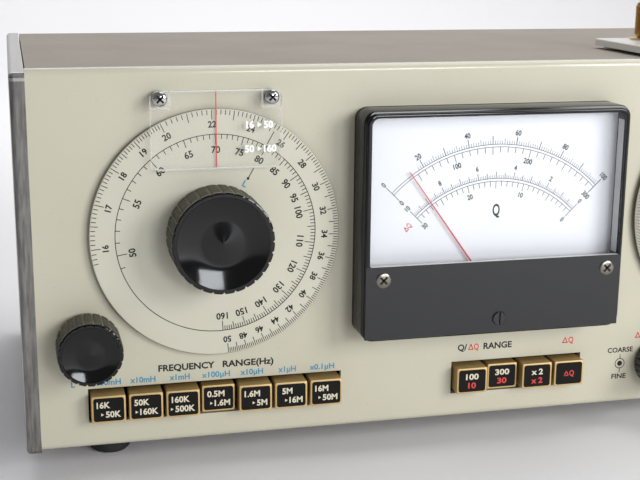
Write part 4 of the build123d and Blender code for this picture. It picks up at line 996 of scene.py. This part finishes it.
def make_needle():
    """Thin tapered pointer with a boss over its pivot."""
    needle = bmesh.new()
    corners = bmesh.ops.create_grid(needle, x_segments=1, y_segments=6, size=0.5)["verts"]
    for vert in corners:
        along = vert.co.y + 0.5
        vert.co = (vert.co.x * (0.95 - 0.6 * along), -12.0 + 88.0 * along, 0.0)
    grown = bmesh.ops.extrude_face_region(needle, geom=list(needle.faces))["geom"]
    raised = [item for item in grown if isinstance(item, bmesh.types.BMVert)]
    bmesh.ops.translate(needle, vec=(0, 0, 0.5), verts=raised)
    join(needle, lathe([(0.0, -0.6), (3.2, -0.6), (3.2, 0.9), (2.6, 1.3), (0.0, 1.3)], 32))
    place = Part("meter_coil").facing(Part("meter_needle").low.y + 1.3)
    piece("meter_pointer", twist(needle, math.radians(35.6)), place, NEEDLE_RED, "pointer",
          ("meter_needle",))


def make_adjuster():
    """Slotted plastic screw that sets the pointer's zero."""
    part = Part("meter_zero_adjuster")
    radius, depth = part.size.x / 2, part.size.y
    screw = lathe([(0.0, 0.0), (radius - 0.5, 0.0), (radius - 0.5, depth - 0.9), (radius, depth - 0.8),
                   (radius, depth - 0.3), (radius - 0.3, depth), (0.0, depth)], 48)
    piece("zero_adjuster_screw", cut(screw, blade(1.0, radius * 3, 1.6, depth)), part.facing(part.high.y),
          SATIN_BLACK, "zero_adjuster", ("meter_zero_adjuster",), 0.5)


def make_window():
    """Clear pane that fills the opening of the shell."""
    part = Part("meter_window")
    play = 0.03
    sheet = block(WINDOW_LEFT + play, WINDOW_RIGHT - play, PANE_BOTTOM, WINDOW_TOP - play, 0.0, part.size.y,
                  WINDOW_CORNER)
    piece("meter_window_sheet", sheet, facing(0.0, part.high.y, 0.0), WINDOW_CLEAR, "case",
          ("meter_window",))


BEZEL_BLACK = moulding("meter shell black", tone(8, 8, 9), 0.07, 0.8, 0.003, 0.05, specular_ior_level=0.4)
# Light grey finish of the meter's painted highlight strips.
PAINTED_HIGHLIGHT_EDGE = moulding("clear edge", tone(196, 196, 194), 0.2, 0.6, 0.005, coat_weight=0.4)
NEEDLE_RED = moulding("pointer red", tone(206, 44, 38), 0.4, 0.3, 0.005)
WINDOW_CLEAR = clear_sheet("window acrylic", 0.02, tone(240, 242, 244))
meter_print()
make_needle()
make_adjuster()
make_bezel()
make_scale_plate()
make_window()


# ---- Push buttons -------------------------------------------------------------------------
KEY_SIDES = key_bronze("key lacquer", tone(146, 120, 70), tone(190, 160, 104))
# The rim's brighter tones are a painted highlight on the front edge of each key.
KEY_RIM_HIGHLIGHT = key_bronze("key rim lacquer", tone(186, 152, 98), tone(214, 184, 130))
KEY_FACE = moulding("key face", tone(23, 22, 20), 0.5, 0.3, 0.02, 0.04, specular_ior_level=0.12)


KEY_CAPITAL = 2.85
LETTER_WIDTHS = {"1": 1.5, ".": 1.0, "M": 2.7, " ": 1.0}
OTHER_LETTER = 2.36


def legend_width(text):
    return sum(LETTER_WIDTHS.get(letter, OTHER_LETTER) for letter in text)


def range_legend(legend, red_legend, lines):
    """Lower and upper frequency of a range, with an arrow before the upper one."""
    lower, upper = lines
    left = {2: -4.5, 3: -5.6}.get(len(lower), -5.5)
    legend.words(lower, left, 2.3, KEY_CAPITAL, align="LEFT", weight=0.12, width=legend_width(lower))
    legend.arrow(3.9 - legend_width(upper), -2.4, 0.85)
    legend.words(upper, 5.6, -2.4, KEY_CAPITAL, align="RIGHT", weight=0.12, width=legend_width(upper))


def q_legend(legend, red_legend, lines):
    """Full scale of Q over that of its difference, or the sign for a difference alone."""
    if not lines:
        red_legend.difference(0.0, 0.0, KEY_CAPITAL, 5.6)
    for text, up, prints in zip(lines, (2.1, -2.5), (legend, red_legend)):
        prints.words(text, 0.0, up, KEY_CAPITAL, weight=0.12, width=legend_width(text) * 1.08)


def make_key(node, lines, write):
    """Push button: lacquered cap whose rim is painted brighter as a highlight, a dark face and its legend."""
    part = Part(node)
    width, height, length = part.size.x, part.size.z, part.size.y
    reach, rim_depth, corner = 11.0, 0.5, 0.7
    place = part.facing(part.low.y + reach)

    cap = plate(width, height, reach - rim_depth, corner, 3)
    join(cap, plate(6.0, 4.0, length - reach), Matrix.Translation((0, 0, reach - length)))
    piece(f"{node}_cap", cap, place, KEY_SIDES, part.body, (node,))

    # Painted highlight: the rim is lacquered brighter than the sides.
    rim = plate(width, height, rim_depth, corner, 3)
    ease(rim, 0.35, 2, where=near(rim_depth))
    piece(f"{node}_rim", shift(rim, z=reach - rim_depth), place, KEY_RIM_HIGHLIGHT, part.body)

    face = plate(width - 1.7, height - 1.7, INK, 1.2, 4)
    piece(f"{node}_face", face, part.facing(part.low.y), KEY_FACE, part.body)

    legends = Print(), Print()
    write(*legends, lines)
    for prints, material, name in zip(legends, (CREAM_INK, RED_INK), ("legend", "red_legend")):
        if prints.bm.verts:
            prints.done(f"{node}_{name}", part.facing(part.low.y - INK), material, part.body, "key_bronze")


RANGES = (("16K", "50K"), ("50K", "160K"), ("160K", "500K"), ("0.5M", "1.6M"), ("1.6M", "5M"), ("5M", "16M"),
          ("16M", "50M"))
for number, lines in enumerate(RANGES, 1):
    make_key(f"range_key_{number}", lines, range_legend)
for number, lines in enumerate((("100", "10"), ("300", "30"), ("x 2", "x 2"), ()), 1):
    make_key(f"q_key_{number}", lines, q_legend)


# ---- Zero knobs and power button ----------------------------------------------------------
def small_knob(node, lobes, height, bore):
    """Small fluted knob on its own stem."""
    part = Part(node)
    radius = part.size.x / 2
    full = lobed(radius, lobes, 0.7)
    solid = grow([(0.0, lobed(radius - 0.5, lobes, 0.5)), (0.5, full), (height - 0.8, full),
                  (height - 0.2, lobed(radius - 0.6, lobes, 0.5)), (height, lobed(radius - 1.2, lobes, 0.0)),
                  (height, radius * 0.72), (height - 0.5, radius * 0.66), (height - 0.5, 0.2)],
                 lobes * FLUTE_STEPS)
    stem = part.size.y - height
    join(solid, lathe([(0.0, 0.0), (bore, 0.0), (bore, -stem), (0.0, -stem)], 32))
    piece(f"{node}_body", solid, part.facing(part.low.y + height), SATIN_BLACK, part.body,
          (node,), 0.5)


small_knob("coarse_zero_knob", 24, 12.0, 3.9)
small_knob("fine_zero_knob", 20, 12.8, 1.5)


def make_power_button():
    part = Part("power_button")
    depth = part.size.y
    button = plate(part.size.x, part.size.z, depth, 0.8, 3)
    ease(button, 0.6, 3, where=near(depth))
    piece("power_button_cap", button, part.facing(part.high.y), SATIN_BLACK, "power",
          ("power_button",))


make_power_button()


# ---- Terminals on the cover ---------------------------------------------------------------
def make_terminals():
    """Turned brass screw caps: a narrow foot, a finely knurled grip and a rounded top."""
    brass = polished("old brass", tone(178, 136, 74), 0.2)
    ridges, rounding = 36, 1.6
    for index in range(1, 5):
        part = Part(f"terminal_cap_{index}")
        radius, height = part.size.x / 2, part.size.z
        knurl = lobed(radius, ridges, 0.22)
        levels = [(0.0, radius - 1.4), (0.7, radius - 1.3), (1.7, radius - 0.35), (2.0, knurl),
                  (height - 2.2, knurl), (height - 2.0, radius - 0.3)]
        levels += [(height - rounding + rounding * climb, radius - 0.4 - rounding * (1 - run))
                   for run, climb in quarter(6)]
        levels.append((height, 0.3))
        place = upright(part.centre.x, part.centre.y, part.low.z)
        piece(f"terminal_cap_{index}_grip", grow(levels, ridges * 6), place, brass, part.body,
              (f"terminal_cap_{index}",), 0.6)


make_terminals()


# ---- Lettering of the panel ---------------------------------------------------------------
def panel_print():
    """Legends on the panel, measured from the panel's lower left corner."""
    low = Part("front_panel").low
    black, blue, red, white = Print(), Print(), Print(), Print()
    for text, x, y, capital, weight, width in (
            ("FREQUENCY", 55.6, 37.0, 3.0, 0.14, 27.0), ("RANGE(Hz)", 86.5, 37.0, 3.0, 0.14, 24.9),
            ("Q/", 206.1, 36.5, 3.1, 0.13, 4.9), ("RANGE", 219.8, 36.5, 3.1, 0.13, 15.3),
            ("COARSE", 288.8, 29.0, 2.5, 0.09, 14.3), ("FINE", 291.9, 14.6, 2.5, 0.09, 8.2)):
        black.words(text, x, y, capital, align="LEFT", weight=weight, width=width)
    black.words("ZERO", 318.5, 36.5, 3.1, weight=0.13, width=12.0)
    black.words("POWER", 404.0, 33.0, 2.7, weight=0.11, width=14.6)

    factors = (("100mH", 14.4), ("10mH", 12.0), ("1mH", 9.7), ("100µH", 13.7), ("10µH", 11.2), ("1µH", 8.8),
               ("0.1µH", 12.4))
    for number, (factor, width) in enumerate(factors, 1):
        x = Part(f"range_key_{number}").centre.x - low.x - 0.7
        blue.words("x" + factor, x, 32.1, 2.7, weight=0.11, width=width)
    blue.words("L", 15.6, 32.1, 2.7, weight=0.11)
    blue.arrow(19.0, 32.1, 1.0)

    # The double knob's mark, a ringed dot between two short strokes.
    mark = 296.1
    black.disc(mark, 21.6, 2.4, 2.8)
    black.disc(mark, 21.6, 0.0, 1.4)
    for y in (25.4, 17.8):
        black.bar(mark, y, 0.4, 2.2)
    for x, width in ((214.5, 5.5), (266.0, 6.1), (307.0, 6.1)):
        red.difference(x, 36.5, 3.1, width)

    for name, prints, material in (("black", black, BLACK_INK), ("blue", blue, BLUE_INK),
                                   ("red", red, RED_INK)):
        prints.done(f"panel_{name}_print", facing(*low), material, "case", "panel_paint")
    for lower, upper, height in (("16", "50", 153.4), ("50", "160", 142.3)):
        white.words(lower, 101.0, height, 3.0, align="RIGHT", weight=0.2)
        white.arrow(103.2, height, 1.3)
        white.words(upper, 105.4, height, 3.0, align="LEFT", weight=0.2)
    place = facing(low.x, Part("dial_cursors").low.y, low.z)
    white.done("cursor_legends", place, WHITE_INK, "case", "clear_acrylic")


panel_print()


# ---- Finishes of the parts that stay ------------------------------------------------------
for name, node in frame["nodes"].items():
    for slot in node.material_slots:
        key = name if name in FINISHES else slot.material.name.split(".")[0]
        slot.material = FINISHES[key]


# ---- Room, light and camera ---------------------------------------------------------------
def make_room():
    """White sweep: a floor that curves up into a backdrop."""
    half_width, floor_start, floor_length, curve_radius, wall = 4000.0, -4000.0, 5600.0, 900.0, 3000.0
    bm = bmesh.new()
    ends = [bm.verts.new((x, floor_start, 0.0)) for x in (-half_width, half_width)]

    def drawn(edge, vec):
        grown = bmesh.ops.extrude_edge_only(bm, edges=[edge])["geom"]
        moved = [item for item in grown if isinstance(item, bmesh.types.BMVert)]
        bmesh.ops.translate(bm, vec=vec, verts=moved)
        return next(item for item in grown if isinstance(item, bmesh.types.BMEdge))

    edge = drawn(bm.edges.new(ends), (0, floor_length, 0))
    curve = bmesh.ops.spin(bm, geom=[edge], cent=(0, floor_start + floor_length, curve_radius),
                           axis=(1, 0, 0), angle=math.pi / 2, steps=24)["geom_last"]
    drawn(next(item for item in curve if isinstance(item, bmesh.types.BMEdge)), (0, 0, wall))
    paper = Finish("studio paper", roughness=0.7)
    paper.surface(base_color=paper.mix(paper.noise(400.0, 2.0), tone(249, 248, 250), tone(246, 245, 247)))
    solid_object("studio_sweep", bm, upright(0, 0, 0), paper.material, math.pi)


def make_light(name, place, aim, size, power, colour=(1.0, 1.0, 1.0)):
    """Soft rectangular light that faces a point."""
    data = bpy.data.lights.new(name, "AREA")
    data.shape = "RECTANGLE"
    data.size, data.size_y = size
    data.energy = power
    data.color = colour
    lamp = bpy.data.objects.new(name, data)
    lamp.location = place
    lamp.rotation_mode = "QUATERNION"
    lamp.rotation_quaternion = (Vector(aim) - Vector(place)).to_track_quat("-Z", "Y")
    bpy.context.scene.collection.objects.link(lamp)


def make_world():
    world = bpy.data.worlds.new("studio")
    world.use_nodes = True
    background = world.node_tree.nodes["Background"].inputs
    background["Color"].default_value = (0.95, 0.97, 1.0, 1.0)
    background["Strength"].default_value = 0.2
    bpy.context.scene.world = world


def make_camera():
    """Camera a little left of the middle and above it, turned slightly to the right."""
    yaw, pitch, roll = math.radians(13.971), math.radians(13.596), math.radians(0.497)
    data = bpy.data.cameras.new("camera")
    data.lens = 70.28
    data.sensor_width = 36.0
    camera = bpy.data.objects.new("camera", data)
    turn = (Matrix.Rotation(-yaw, 4, "Z") @ Matrix.Rotation(math.pi / 2 - pitch, 4, "X")
            @ Matrix.Rotation(roll, 4, "Z"))
    camera.matrix_world = Matrix.Translation((-0.22612, -0.66979, 0.24993)) @ turn
    bpy.context.scene.collection.objects.link(camera)
    bpy.context.scene.camera = camera


bpy.context.scene.view_settings.view_transform = "Standard"
make_room()
make_world()
NEAR_MIDDLE = (0.05, 0.0, 0.1)
make_light("overhead", (0.35, 0.0, 1.35), NEAR_MIDDLE, (1.0, 0.8), 6.0)
make_light("right", (0.75, -1.0, 0.5), (0.15, 0.0, 0.1), (0.5, 0.5), 9.0)
make_light("window", (0.4, -1.75, 0.42), NEAR_MIDDLE, (0.5, 0.45), 9.2, (0.94, 0.97, 1.0))
make_light("backdrop", (0.3, 1.2, 1.4), (0.3, 1.4, 0.0), (2.4, 0.8), 21.0)
make_camera()

bpy.context.view_layer.update()
